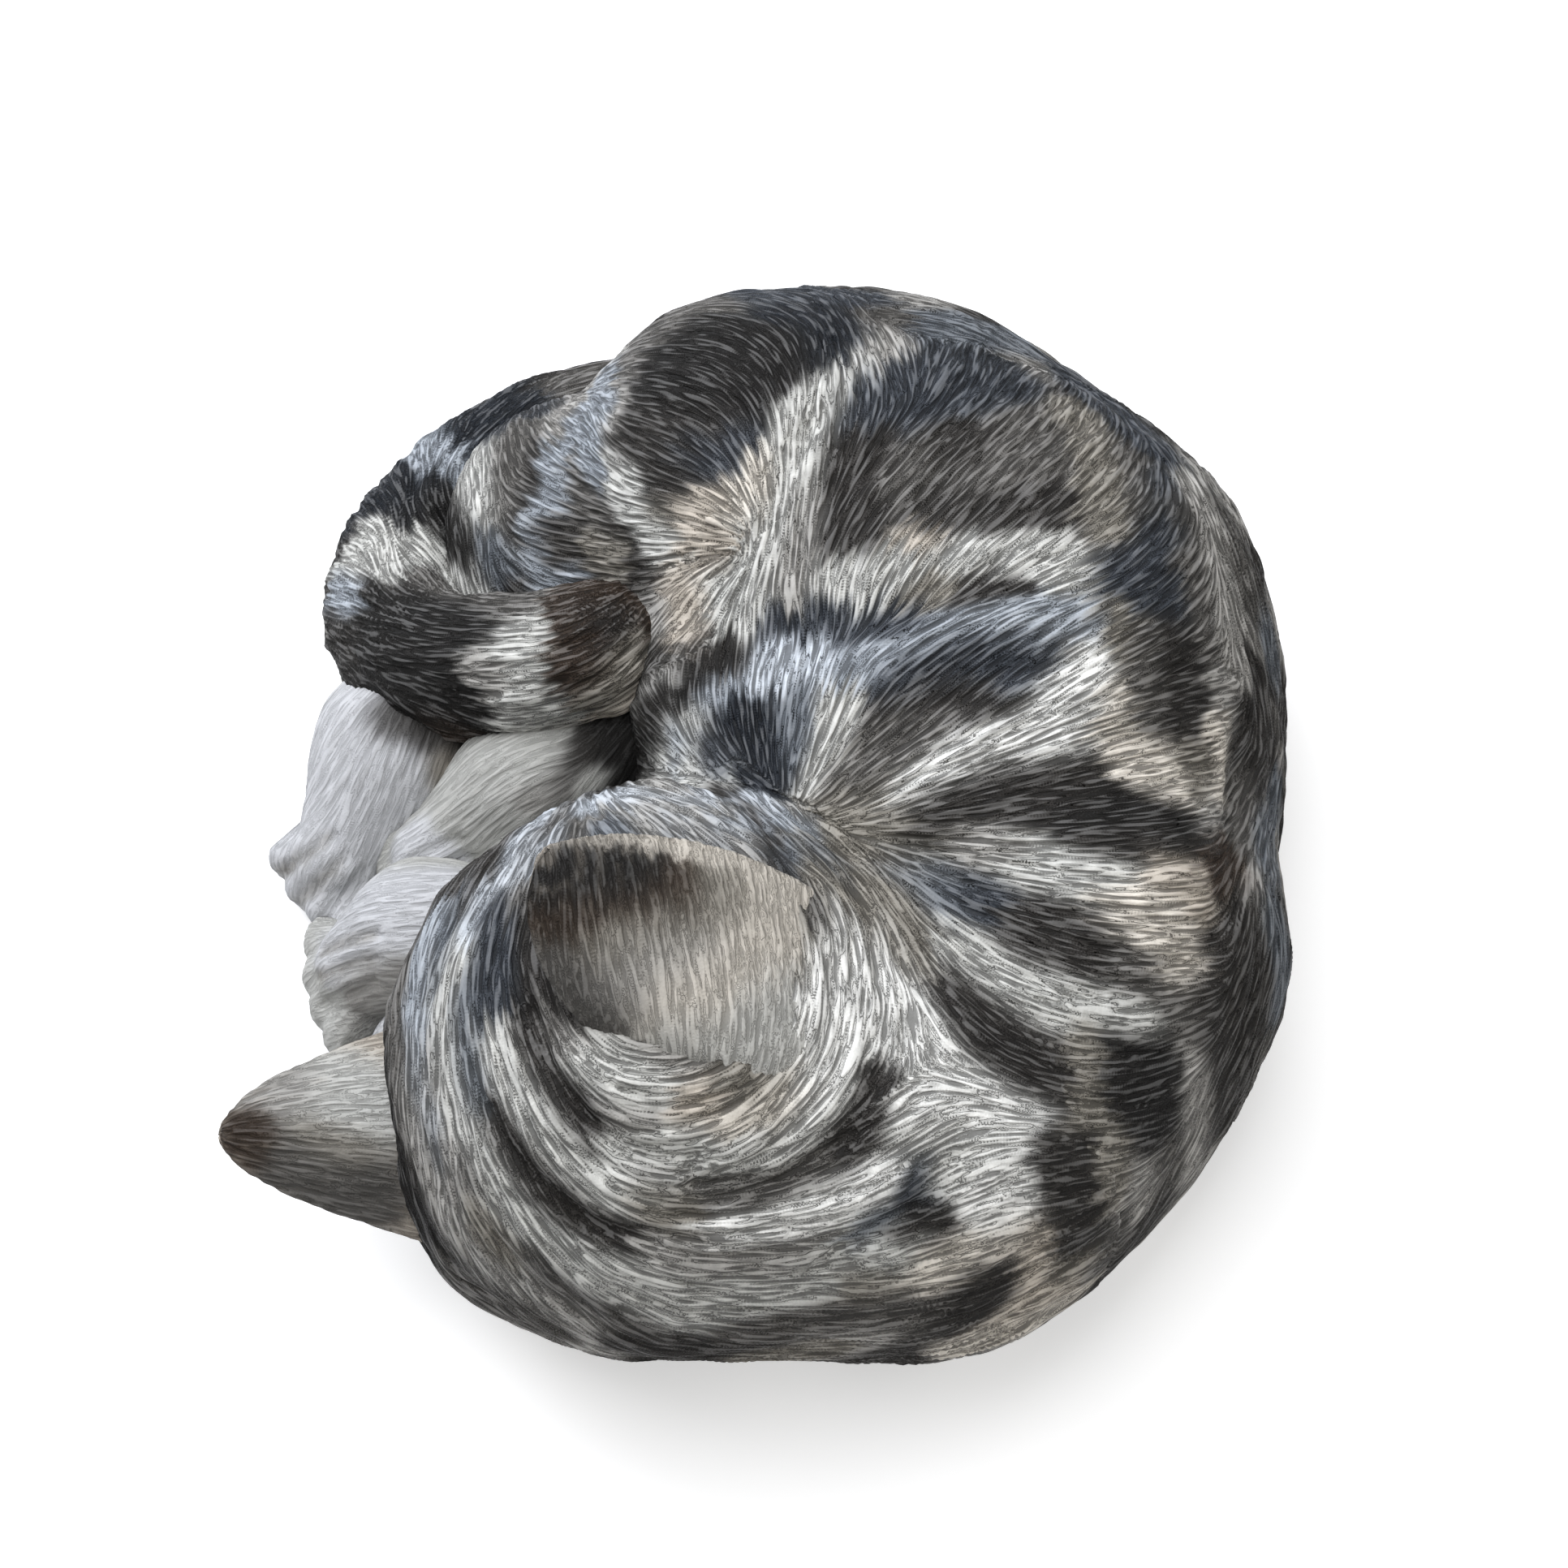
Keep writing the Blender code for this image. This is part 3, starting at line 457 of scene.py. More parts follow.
    ("slate", 3, ((603, 1130), (608, 1180), (600, 1235))),
    ("mist", 3, ((520, 1260), (513, 1320), (528, 1380), (535, 1420))),
    ("steel", 3, ((570, 1240), (568, 1300), (580, 1350))),
    (
        "silver", 3,
        ((605, 1275), (620, 1320), (648, 1365), (680, 1405), (705, 1440), (745, 1462), (790, 1475)),
    ),
    # Charcoal along the head's two deep crevices between locks: dark wash and painted shade in the crevices
    ("charcoal", 2.6, ((645, 1255), (662, 1295), (685, 1335), (712, 1372), (738, 1400))),
    ("charcoal", 2.8, ((598, 1365), (620, 1410), (658, 1452), (692, 1485), (725, 1512), (760, 1530))),
    ("silver", 3, ((605, 1465), (640, 1500), (685, 1535), (735, 1560))),
    ("ash", 2.5, ((555, 1400), (555, 1450), (570, 1500))),
    ("pewter", 2.2, ((575, 1420), (590, 1470))),
    ("pewter", 3, ((640, 1540), (665, 1565))),
    ("charcoal", 3.5, ((670, 1570), (720, 1603), (775, 1630))),
    ("stone", 3, ((595, 1510), (625, 1545))),
    # Soot low on the head's left: dark paint and painted shade
    ("soot", 4, ((470, 1360), (468, 1420), (478, 1475))),
    ("soot", 4, ((515, 1500), (525, 1535))),
    ("pewter", 4, ((570, 1580), (620, 1605), (670, 1635))),
    ("silver", 3.5, ((765, 1565), (830, 1592), (900, 1597), (1000, 1592))),
    ("stone", 3, ((1040, 1578), (1100, 1580))),
    ("silver", 3.6, ((760, 1432), (830, 1436), (900, 1430), (960, 1410), (1005, 1375))),
    ("pewter", 2.2, ((850, 1462), (900, 1470), (960, 1462), (1010, 1440))),
    ("silver", 4, ((560, 1160), (548, 1240), (552, 1320), (575, 1400), (610, 1460))),
    ("ash", 4, ((520, 1300), (520, 1380), (540, 1450))),
    ("silver", 4.5, ((700, 1560), (770, 1600), (850, 1625), (930, 1610))),
    ("ash", 4, ((640, 1560), (700, 1610), (760, 1640))),
    ("silver", 4, ((1000, 1560), (1060, 1555), (1110, 1545))),
    ("cream", 4, ((1160, 1560), (1200, 1545), (1240, 1530))),
    ("silver", 4, ((1150, 1400), (1200, 1420), (1180, 1450))),
    ("sand", 4, ((1330, 1570), (1290, 1600), (1230, 1640))),
    # Charcoal along a deep crevice of the head: dark wash and painted shade in the crevice
    ("charcoal", 3, ((1030, 1425), (1060, 1390), (1080, 1350), (1085, 1325))),
    ("white", 3.2, ((890, 1522), (950, 1515), (1010, 1495), (1060, 1468), (1095, 1452))),
    ("ash", 3, ((800, 1545), (870, 1552), (950, 1555), (1010, 1545))),
    ("stone", 2.4, ((790, 1480), (830, 1490))),
    ("charcoal", 4, ((770, 1645), (810, 1655), (870, 1672))),
    ("pewter", 3, ((890, 1640), (970, 1627), (1040, 1620))),
    ("stone", 3, ((930, 1672), (1010, 1665))),
    ("charcoal", 3.5, ((1060, 1682), (1120, 1668))),
    ("silver", 3, ((695, 1300), (745, 1320), (800, 1352))),
    ("ash", 2.6, ((770, 1385), (810, 1380))),
    ("sand", 2.4, ((855, 1362), (890, 1355))),
    ("stone", 3, ((910, 1345), (945, 1310), (955, 1280))),
    ("cream", 3.5, ((990, 1330), (960, 1370), (910, 1378))),
    ("silver", 2.6, ((880, 1405), (820, 1412))),
    ("pewter", 2, ((800, 1442), (830, 1448))),
    ("ash", 2.6, ((670, 1250), (690, 1275))),
    ("charcoal", 2.6, ((662, 1110), (658, 1160), (672, 1210), (690, 1240))),
    # Frost on the crown: pale paint and painted cool light from above
    ("frost", 4, ((730, 980), (790, 985), (860, 982), (925, 990))),
    ("steel", 2.4, ((755, 1015), (760, 1035), (880, 1035), (900, 1050))),
    ("mist", 3, ((820, 1010), (930, 1020), (990, 1010))),
    ("steel", 2.6, ((950, 1055), (985, 1060))),
    ("pewter", 2, ((1000, 1105), (1015, 1145))),
    ("stone", 2.6, ((975, 1150), (975, 1200))),
)
TAIL_MARKS = (
    ("pewter", 4, ((700, 480), (720, 470), (735, 455))),
    ("ash", 3, ((680, 520), (665, 545))),
    ("ink", 6, ((620, 508), (580, 525))),
    ("charcoal", 3.5, ((655, 545), (637, 580), (630, 610))),
    ("mist", 4, ((515, 548), (545, 560), (590, 590))),
    ("steel", 3.5, ((595, 620), (600, 660))),
    ("ink", 5, ((450, 620), (480, 600), (520, 612))),
    ("soot", 5, ((500, 610), (535, 625), (565, 650))),
    ("slate", 3.5, ((575, 670), (595, 690), (600, 715))),
    ("silver", 5, ((440, 690), (475, 672), (520, 672), (555, 690))),
    ("mist", 3, ((420, 720), (430, 740))),
    ("pewter", 3.5, ((540, 712), (600, 738), (640, 748))),
    ("soot", 7, ((470, 780), (520, 768), (570, 765))),
    ("soot", 7, ((460, 825), (510, 835), (540, 865))),
    ("charcoal", 4, ((420, 790), (430, 820))),
    ("umber", 4, ((550, 890), (590, 915))),
    ("silver", 4.5, ((640, 775), (635, 820), (640, 860), (665, 890))),
    ("ash", 3, ((595, 815), (605, 850))),
    ("umber", 5, ((755, 705), (720, 740), (712, 780), (725, 815))),
    ("soot", 4, ((725, 750), (740, 775))),
    ("umber", 4, ((795, 735), (815, 770))),
    ("stone", 4, ((770, 815), (750, 850))),
    ("sand", 3.5, ((820, 815), (800, 850), (760, 885))),
    ("ash", 3, ((690, 895), (720, 905))),
)
FOOT_MARKS = {
    "hind_foot_outer": (
        ("snow", 12, ((440, 930), (400, 1020), (370, 1100))),
        ("snow", 8, ((480, 960), (460, 1080))),
        ("stone", 3, ((545, 945), (560, 985), (545, 1010))),
        ("sand", 4, ((555, 940), (575, 975))),
        ("umber", 2.5, ((598, 945), (600, 965))),
        ("mist", 3, ((480, 1095), (500, 1060))),
        ("charcoal", 4, ((470, 885), (540, 905), (590, 925))),
        ("stone", 1.3, ((342, 1080), (375, 1055), (400, 1036))),
        ("stone", 1.3, ((360, 1118), (390, 1090), (415, 1068))),
    ),
    "hind_foot_inner": (
        ("silver", 5, ((620, 950), (680, 945))),
        ("ash", 3, ((650, 985), (690, 960))),
        ("silver", 5, ((570, 1000), (620, 1020))),
        ("snow", 4, ((510, 1050), (540, 1070))),
        ("soot", 4, ((770, 890), (745, 915), (775, 935), (765, 955))),
        ("charcoal", 2.5, ((730, 915), (705, 940), (685, 970))),
        ("silver", 2.2, ((745, 955), (715, 968))),
    ),
    "front_paw_outer": (
        ("snow", 5, ((440, 1125), (500, 1120), (550, 1110))),
        ("snow", 5, ((400, 1175), (450, 1170))),
        ("ash", 4, ((470, 1200), (440, 1230))),
        ("silver", 4, ((390, 1220), (410, 1245))),
        ("stone", 1.3, ((395, 1172), (430, 1160), (455, 1154))),
        ("stone", 1.3, ((388, 1205), (425, 1192), (455, 1184))),
    ),
    "front_paw_inner": (("snow", 6, ((465, 1225), (490, 1200))),),
}
# Furrows between the toes
FOOT_RELIEF = {
    "hind_foot_outer": (
        (-1.3, 1.6, ((342, 1080), (375, 1055), (410, 1030))),
        (-1.3, 1.6, ((360, 1118), (390, 1090), (425, 1058))),
        (-1.1, 1.6, ((395, 1140), (420, 1110), (448, 1075))),
    ),
    "hind_foot_inner": (
        (-1.1, 1.5, ((505, 1062), (535, 1045), (565, 1035))),
        (-1.1, 1.5, ((520, 1085), (548, 1066), (575, 1055))),
    ),
    "front_paw_outer": (
        (-1.2, 1.6, ((395, 1172), (430, 1160), (462, 1152))),
        (-1.2, 1.6, ((388, 1205), (425, 1192), (460, 1182))),
        (-1.2, 1.6, ((396, 1240), (430, 1224), (460, 1212))),
    ),
    "front_paw_inner": (),
}
FOOT_FLOW = {
    "hind_foot_outer": (
        ((450, 890), (425, 930), (395, 980), (360, 1030), (345, 1070)),
        ((490, 900), (470, 960), (445, 1020), (415, 1080), (390, 1120)),
        ((550, 920), (530, 980), (505, 1040), (480, 1095)),
    ),
    "hind_foot_inner": (
        ((700, 935), (640, 950), (590, 990), (540, 1025)),
        ((690, 970), (630, 1000), (570, 1060), (520, 1075)),
        ((790, 885), (760, 915), (735, 950), (715, 975)),
        ((795, 900), (780, 930), (765, 965)),
    ),
    "front_paw_outer": (
        ((560, 1105), (500, 1118), (440, 1125), (415, 1140)),
        ((540, 1150), (470, 1155), (410, 1170), (385, 1200)),
        ((520, 1210), (450, 1200), (400, 1225)),
    ),
    "front_paw_inner": (((500, 1190), (475, 1220), (455, 1255)),),
}
EAR_MARKS = {
    "ear_upper": (
        ("soot", 6, ((690, 1065), (735, 1068), (785, 1078))),
        ("soot", 4, ((690, 1100), (740, 1095))),
        ("umber", 4, ((690, 1135), (740, 1120), (800, 1108), (850, 1100))),
        ("pewter", 4, ((695, 1180), (720, 1220), (745, 1265))),
        ("stone", 5, ((735, 1170), (780, 1145), (850, 1130), (905, 1110))),
        ("ash", 6, ((760, 1220), (800, 1180), (870, 1160))),
        ("cream", 8, ((830, 1230), (880, 1200), (930, 1170), (960, 1130))),
        ("silver", 6, ((830, 1290), (920, 1270), (970, 1220))),
        # Thin cream line along the rim: a painted highlight where the edge catches the light
        ("cream", 1.6, ((690, 1036), (780, 1034), (880, 1058), (980, 1083))),
    ),
    "ear_lower": (
        ("umber", 4, ((288, 1390), (310, 1410))),
        ("ash", 5, ((330, 1340), (380, 1345))),
        ("silver", 6, ((400, 1340), (430, 1370))),
        ("pewter", 5, ((350, 1430), (400, 1450), (440, 1470))),
        ("stone", 4, ((380, 1400), (430, 1420))),
    ),
}
# Where an ear has no strokes, its fur runs from root to tip
EAR_FLOW = {
    "ear_upper": (
        ((700, 1060), (705, 1150), (745, 1260)),
        ((760, 1050), (765, 1150), (785, 1270)),
        ((830, 1060), (835, 1160), (845, 1290)),
        ((900, 1075), (905, 1170), (900, 1290)),
        ((965, 1090), (968, 1180), (955, 1280)),
    ),
    "ear_lower": (),
}

# Relief beyond the fur: height in millimetres, negative for a groove, half-width, stroke in photo pixels
COAT_RELIEF = (
    (-1.2, 2.4, ((1000, 520), (975, 575), (948, 640), (915, 685), (880, 720), (845, 765))),
    (1.0, 3.0, ((1500, 890), (1503, 950), (1500, 1010))),
    (-1.0, 3.0, ((1010, 1010), (1060, 1040), (1110, 1050))),
    (-2.0, 2.6, ((645, 1250), (670, 1310), (715, 1375), (780, 1420), (850, 1430))),
    (1.4, 3.0, ((700, 1300), (760, 1335), (840, 1345), (905, 1325))),
    (-1.9, 2.4, ((600, 1370), (655, 1450), (725, 1512), (800, 1530))),
    (-1.8, 2.6, ((1080, 1320), (1040, 1410), (960, 1455), (860, 1462))),
    (1.4, 3.5, ((1100, 1450), (1000, 1500), (880, 1525))),
    (-0.9, 3.5, ((1210, 1110), (1360, 1180))),
    (-1.8, 2.8, ((1170, 1440), (1110, 1510), (1040, 1540))),
    (0.9, 4.0, ((1180, 1170), (1270, 1225), (1400, 1255))),
)

# The face on the hidden side of the head, along left, forward and crown, for the left half
EYE_SLIT = ((9, 47, 0), (13, 46, -2.4), (18, 43, -2.6), (23, 39, -0.6), (26, 36, 2))
EYE_LID = ((9, 46, 3), (14, 44.5, 1.6), (19, 41.5, 1.8), (24, 37, 4))
MOUTH = ((0, 56, -20), (4, 55, -23), (9, 52, -23), (13, 48, -21))
NOSE_BRIDGE = ((0, 56, -10), (0, 50, 4))
NOSE_TIP = ((-3, 57, -12), (3, 57, -12))
PHILTRUM = ((0, 57, -14), (0, 56, -20))
FACE_MARKS = (
    ("silver", 11, ((9, 50, -18), (16, 44, -26))),
    ("charcoal", 2.2, ((26, 36, 1), (36, 26, 0), (46, 8, 4))),
    ("charcoal", 2.4, ((5, 44, 14), (7, 34, 32), (8, 14, 46))),
    ("pewter", 2.4, ((13, 42, 12), (16, 28, 32), (20, 8, 44))),
    ("ash", 9, ((30, 30, 14), (40, 14, 16))),
    ("stone", 10, ((34, 22, -20), (44, 4, -14))),
)
FACE_LINES = (
    ("soot", 0.9, EYE_SLIT),
    ("pewter", 2.0, EYE_LID),
    ("umber", 0.8, MOUTH),
)

# Grooves, below zero, and ridges of the face: height, half-width, line. The first group is on both sides
FACE_CREASES = ((-1.3, 0.9, EYE_SLIT), (0.9, 1.8, EYE_LID), (-1.0, 0.9, MOUTH))
NOSE_CREASES = ((1.0, 3.5, NOSE_BRIDGE), (1.6, 2.6, NOSE_TIP), (-0.8, 0.8, PHILTRUM))
NOSE_LEATHER = ("umber", 2.6, NOSE_TIP)

# Fur of each piece as shares of the panel's sizes: strand pitch, strand length, strand depth, lock depth.
# Head and haunch have coarser strands, because theirs is a coarser grid
FUR = {
    "trunk": (1.0, 1.0, 1.0, 1.0),
    "haunch": (1.5, 1.0, 1.2, 0.7),
    "head": (1.9, 1.1, 1.5, 1.0),
    "tail": (1.0, 1.1, 1.0, 1.0),
    "feet": (0.8, 0.8, 0.4, 0.3),
    "ears": (0.8, 0.8, 0.5, 0.2),
}
# How far the wash and painted shade in the clefts, and the dry brushing and painted highlight on the
# crests, show on the fine fur of feet and ears, where the coat's is one
FOOT_CONTRAST = 0.3
EAR_CONTRAST = 0.5
# Limits of strands and of locks, in standard deviations, and how much deeper the grooves are made
STRAND_RANGE = (-2.2, 1.5)
LOCK_RANGE = 2.0
GROOVE_DEEPENING = 1.4
# How strands and locks drag the paint along the fur, and how far, as a share of a strand's length
DRAG_BY_STRAND = 0.7
DRAG_BY_LOCK = 0.6
DRAG_SHARE = 0.2

# Cells of each piece's grid at full detail: the tail's are rings, sides and rings of a rounded end
HAUNCH_CELLS = 126
HEAD_CELLS = 126
FOOT_CELLS = 64
TAIL_CELLS = (330, 150, 24)
EAR_CELLS = (120, 96)
# Strokes along the tail where the photo shows none: every so many rings, and how far up, down and out
TAIL_STROKE_STEP = 30
TAIL_STROKE_RISE = 9.0
TAIL_STROKE_OUT = 12.0
# An ear's own strokes lie this many columns apart, and its field is read from every so many points
EAR_STROKE_STEP = 12
EAR_FIELD_STEP = 7
# Step of the trunk's coarse grid, which is marched, before the fine one is refined
COARSE_STEP = 6
# How far the border of a tile of the trunk is sunk, so that its neighbour covers it
LIP_SINK = 0.3

# Lattices of fur and paint: the body's corners and cell, and the others' margin round the piece and cell
BODY_LATTICE = ((-90, -140, 0), (122, 130, 104), 2.5)
TAIL_LATTICE = (6.0, 2.0)
FOOT_LATTICE = (5.0, 1.8)
EAR_LATTICE = (4.0, 1.6)
# Only places this near the surface are worked out: so many cells and millimetres
SHELL_CELLS = 3.5
SHELL_MARGIN = 3.0

# The search for a surface: steps down its slope, reach of a ray, places looked at along it, halvings
SETTLE_STEPS = 8
REACH = 190.0
MARCH_STEPS = 140
CAMERA_MARCH_STEPS = 400
BALL_MARCH_STEPS = 90
HALVINGS = 10
# Newton's steps along a ray: how many, gap for the slope, longest stride, least slope, and the miss past
# which the ray is marched instead
REFINE_STEPS = 4
REFINE_GAP = 0.3
REFINE_STRIDE = 3.0
REFINE_SLOPE = 0.15
REFINE_MISS = 0.15

# Weights of strokes: spacing of their samples, softening and power of the squared distance, least facing
FLOW_SPACING = 4.0
FLOW_SOFTENING = 12.0
FLOW_POWER = 1.6
FLOW_FACING = 0.02
# Weights of paint marks: the background's own, steepness of the brush's edge, how far it goes round a bend
BACKGROUND_BRUSH = 0.004
BRUSH_STEEPNESS = 1.3
BRUSH_FACING = 0.25

# The tabby's bands where no mark reaches: middle they go round, how many make a full turn, and how they
# waver with height and with the angle, each as a frequency and an amount
BAND_MIDDLE = (25.0, 5.0)
BANDS = 15.0
BAND_RISE = (0.11, 1.3)
BAND_SWAY = (4.0, 1.5)
# Middle of the share of dark paint, and how far the wave takes it either way before it's clipped
BAND_SHARE = (0.5, 0.9)
# Cells along each side of the block of noise, which repeats
NOISE_SIDE = 64
# Sets the locks' noise apart from the strands', and weighs their steps, of which every other is taken
LOCK_SHIFT = 17.0
LOCK_WEIGHT = 1.6

FUR_MATERIAL = "hand_painted_cast_resin_fur"
# Hairs on the carved strands: places averaged to each side, their spacing in metres, and cells of noise a
# metre: 0.74 mm each, about four of the photo's pixels
HAIR_TAPS = 6
HAIR_STEP = 0.00062
HAIR_SCALE = 1350.0
# Specks of 0.45 mm in the varnish and blotches of 2.4 mm in the paint, in cells a metre
SPECK_SCALE = 2200.0
BLOTCH_SCALE = 420.0
# Ranges in the materials, each from low and high source to bottom and top value. The carving runs from
# about -2 to 2: a dark wash and painted shade darken its cracks and grooves, and dry brushing and a painted
# highlight lighten its crests. The grain is that of the plain finishes
RANGES = {
    "hair": (0.42, 0.58, -1.6, 1.6),
    # The first two darken the clefts with a dark wash and painted shade, the next two lighten the crests
    # with dry brushing and a painted highlight
    "crack": (0.0, 0.2, 0.42, 1.0),
    "groove": (-1.3, -0.4, 0.4, 1.0),
    "crest": (0.0, 1.3, 1.1, 1.44),
    "dry_brush_and_highlight": (0.2, 1.6, 0.0, 0.075),
    "blotch": (0.3, 0.7, 0.85, 1.15),
    "gloss": (0.35, 0.65, 0.42, 0.66),
    "grain": (0.3, 0.7, 0.8, 1.1),
}
# Share of the carved strands beside the hairs, and heights of clefts, crests and specks in the bump
STRAND_SHARE = 0.4
CLEFT_HEIGHT = 1.8
CREST_HEIGHT = 1.4
SPECK_HEIGHT = 0.4
BUMP_METRES = 0.00024
# Strength of the room's light, glow that a camera sees added to the floor, and half the floor's side, in m
ROOM_STRENGTH = 0.24
FLOOR_GLOW = 0.45
FLOOR_HALF = 4.0


def linear(hex_colour):
    """An sRGB hex value as linear red, green and blue."""
    channels = (int(hex_colour[i:i + 2], 16) / 255.0 for i in (1, 3, 5))
    return tuple(c / 12.92 if c <= 0.04045 else ((c + 0.055) / 1.055) ** 2.4 for c in channels)


def unit(vectors):
    """The vectors at length one."""
    vectors = np.asarray(vectors, np.float32)
    return vectors / np.maximum(np.linalg.norm(vectors, axis=-1, keepdims=True), 1e-9)


def head_axes():
    """Left, forward and crown of the head, square to each other."""
    crown = unit(HEAD_CROWN)
    forward = unit(np.cross(crown, HEAD_LEFT))
    return np.array((np.cross(forward, crown), forward, crown))


HEAD_AXES = head_axes()
FLAT_AXES = np.eye(3)


def on_head(place):
    """A place given along the head's left, forward and crown, in the figurine's own frame."""
    return HEAD_CENTRE + np.asarray(place) @ HEAD_AXES


def turned(degrees):
    """Rows are the axes of a lump turned about +Z."""
    angle = math.radians(degrees)
    return np.array((
        (math.cos(angle), math.sin(angle), 0.0), (-math.sin(angle), math.cos(angle), 0.0), (0.0, 0.0, 1.0)
    ))


def ellipsoid(points, centre, radii, axes):
    """About the distance to an ellipsoid: its scaled radius less one, over the steepness there."""
    local = (points - np.asarray(centre, np.float32)) @ axes.T.astype(np.float32)
    shrunk = local / np.asarray(radii, np.float32)
    scaled = np.sqrt((shrunk * shrunk).sum(-1))
    steep = shrunk / np.asarray(radii, np.float32)
    return scaled * (scaled - 1.0) / (np.sqrt((steep * steep).sum(-1)) + 1e-6)


def limb(points, start, end, start_radius, end_radius):
    """Distance to a round bar whose radius runs evenly from one end to the other."""
    start = np.asarray(start, np.float32)
    run = np.asarray(end, np.float32) - start
    away = points - start
    share = np.clip((away @ run) / (run @ run), 0.0, 1.0)
    away = away - share[..., None] * run
    return np.sqrt((away * away).sum(-1)) - (start_radius + (end_radius - start_radius) * share)


def fillet(first, second, width):
    """What a melt of this width takes off the smaller of two fields: most where they are equal."""
    overlap = np.clip(1.0 - np.abs(first - second) / width, 0.0, None)
    return overlap * overlap * width / 4.0


def melt(first, second, width):
    """Union of two shapes, with a fillet of about this width where they meet."""
    if width == 0:
        return np.minimum(first, second)
    return np.minimum(first, second) - fillet(first, second, width)


def fold(points, rise, width, start, end):
    """Height of a fold: a bell curve across the line from start to end, that dies away past its ends."""
    middle = (np.array(start, np.float32) + np.array(end, np.float32)) / 2.0
    half = np.array(end, np.float32) - middle
    local = points - middle
    along = local @ half / (half @ half)
    across = (local * local).sum(-1) - along * along * (half @ half)
    return rise * np.exp(-across / width**2 - along**4)


def trunk_field(points):
    """Below zero inside the barrel, loin, ribs, shoulder, neck and elbow, with the folds over them."""
    field = None
    for centre, radii, turn, width in (BARREL, LOIN, RIBS, SHOULDER):
        lump = ellipsoid(points, centre, radii, turned(turn))
        field = lump if field is None else melt(field, lump, width)
    for start, end, start_radius, end_radius, width in (NECK, ELBOW):
        field = melt(field, limb(points, start, end, start_radius, end_radius), width)
    for row in FOLDS:
        field = field - fold(points, *row)
    return field


def haunch_field(points):
    """Below zero inside the thigh, knee and rump."""
    field = None
    for centre, radii, turn, width in (THIGH, KNEE, RUMP):
        lump = ellipsoid(points, centre, radii, turned(turn))
        field = lump if field is None else melt(field, lump, width)
    return field


def head_field(points):
    """Below zero inside the skull, muzzle, cheeks, brows, jowl and nape."""
    field = ellipsoid(points, HEAD_CENTRE, (SKULL_RADIUS,) * 3, HEAD_AXES)
    field = melt(field, ellipsoid(points, on_head(MUZZLE[0]), MUZZLE[1], HEAD_AXES), HEAD_MELT)
    for side in (1.0, -1.0):
        for place, radii in (CHEEK, BROW):
            centre = on_head(np.array(place) * (side, 1.0, 1.0))
            field = melt(field, ellipsoid(points, centre, radii, HEAD_AXES), CHEEK_MELT)
    field = melt(field, limb(points, on_head(NAPE_START), NAPE_END, *NAPE_RADII), HEAD_MELT)
    return melt(field, ellipsoid(points, *JOWL, FLAT_AXES), HEAD_MELT)


def tail_field(points):
    """Below zero inside the tail."""
    bars = zip(TAIL_LINE, TAIL_LINE[1:], TAIL_RADII, TAIL_RADII[1:])
    return np.minimum.reduce([limb(points, *bar) for bar in bars])


def foot_field(points, name):
    """Below zero inside a foot: the leg's bars and a row of toes across its end."""
    line, radii, (toe_radius, toe_step, across) = FEET[name]
    field = limb(points, line[0], line[1], radii[0], radii[1])
    field = melt(field, limb(points, line[1], line[2], radii[1], radii[2]), radii[2])
    ahead = unit(np.subtract(line[2], line[1]))
    for toe in range(TOES):
        offset = toe - (TOES - 1) / 2.0
        reach = radii[2] - toe_radius * (TOE_SETBACK + TOE_SETBACK * abs(offset))
        centre = np.asarray(line[2]) + unit(across) * toe_step * offset + ahead * reach
        lowest = FLOOR_OF_CASTING + toe_radius * TOE_CLEARANCE
        centre[2] = max(centre[2] - toe_radius * TOE_DROP, lowest)
        toe_ball = ellipsoid(points, centre, (toe_radius,) * 3, FLAT_AXES)
        field = melt(field, toe_ball, toe_radius * TOE_MELT)
    return floored(field, points)


def floored(field, points):
    """The field cut flat where the casting stands on its felt."""
    return np.maximum(field, FLOOR_OF_CASTING - points[..., 2])


def trunk_skin(points):
    """The trunk, drawn up into fillets where the haunch and the head grow out of it."""
    trunk = trunk_field(points)
    blended = trunk - fillet(trunk, haunch_field(points), HAUNCH_MELT)
    return floored(blended - fillet(trunk, head_field(points), NAPE_MELT), points)


def haunch_skin(points):
    """The haunch, drawn up into its fillet with the trunk."""
    haunch = haunch_field(points)
    return floored(haunch - fillet(haunch, trunk_field(points), HAUNCH_MELT), points)


def head_skin(points):
    """The head, drawn up into its fillet with the trunk."""
    head = head_field(points)
    return floored(head - fillet(head, trunk_field(points), NAPE_MELT), points)


def coat_skin(points):
    """Trunk, haunch and head melted into one."""
    trunk, haunch, head = trunk_field(points), haunch_field(points), head_field(points)
    both = melt(trunk, haunch, HAUNCH_MELT)
    return floored(melt(both, head, NAPE_MELT), points)


def on_floor(points):
    """The points, none of them lower than the castings stand."""
    points[:, 2] = np.maximum(points[:, 2], FLOOR_OF_CASTING)
    return points


def parts(count, size):
    """Slices that cut a number of rows into parts that fit into memory."""
    return [slice(first, first + size) for first in range(0, count, size)]


def steepest(field, points, step=0.4):
    """The field's slope along x, y and z, from differences over a short step."""
    slopes = []
    for axis in np.eye(3, dtype=np.float32) * step:
        slopes.append((field(points + axis) - field(points - axis)) / (2.0 * step))
    return np.stack(slopes, -1)


def settle(points, field):
    """Moves each point along the field's slope to the surface, by a fixed number of steps."""
    points = np.asarray(points, np.float32)
    for _ in range(SETTLE_STEPS):
        slope = steepest(field, points)
        away = field(points)[..., None]
        points = points - slope * away / np.maximum((slope * slope).sum(-1, keepdims=True), 0.1)
    return points


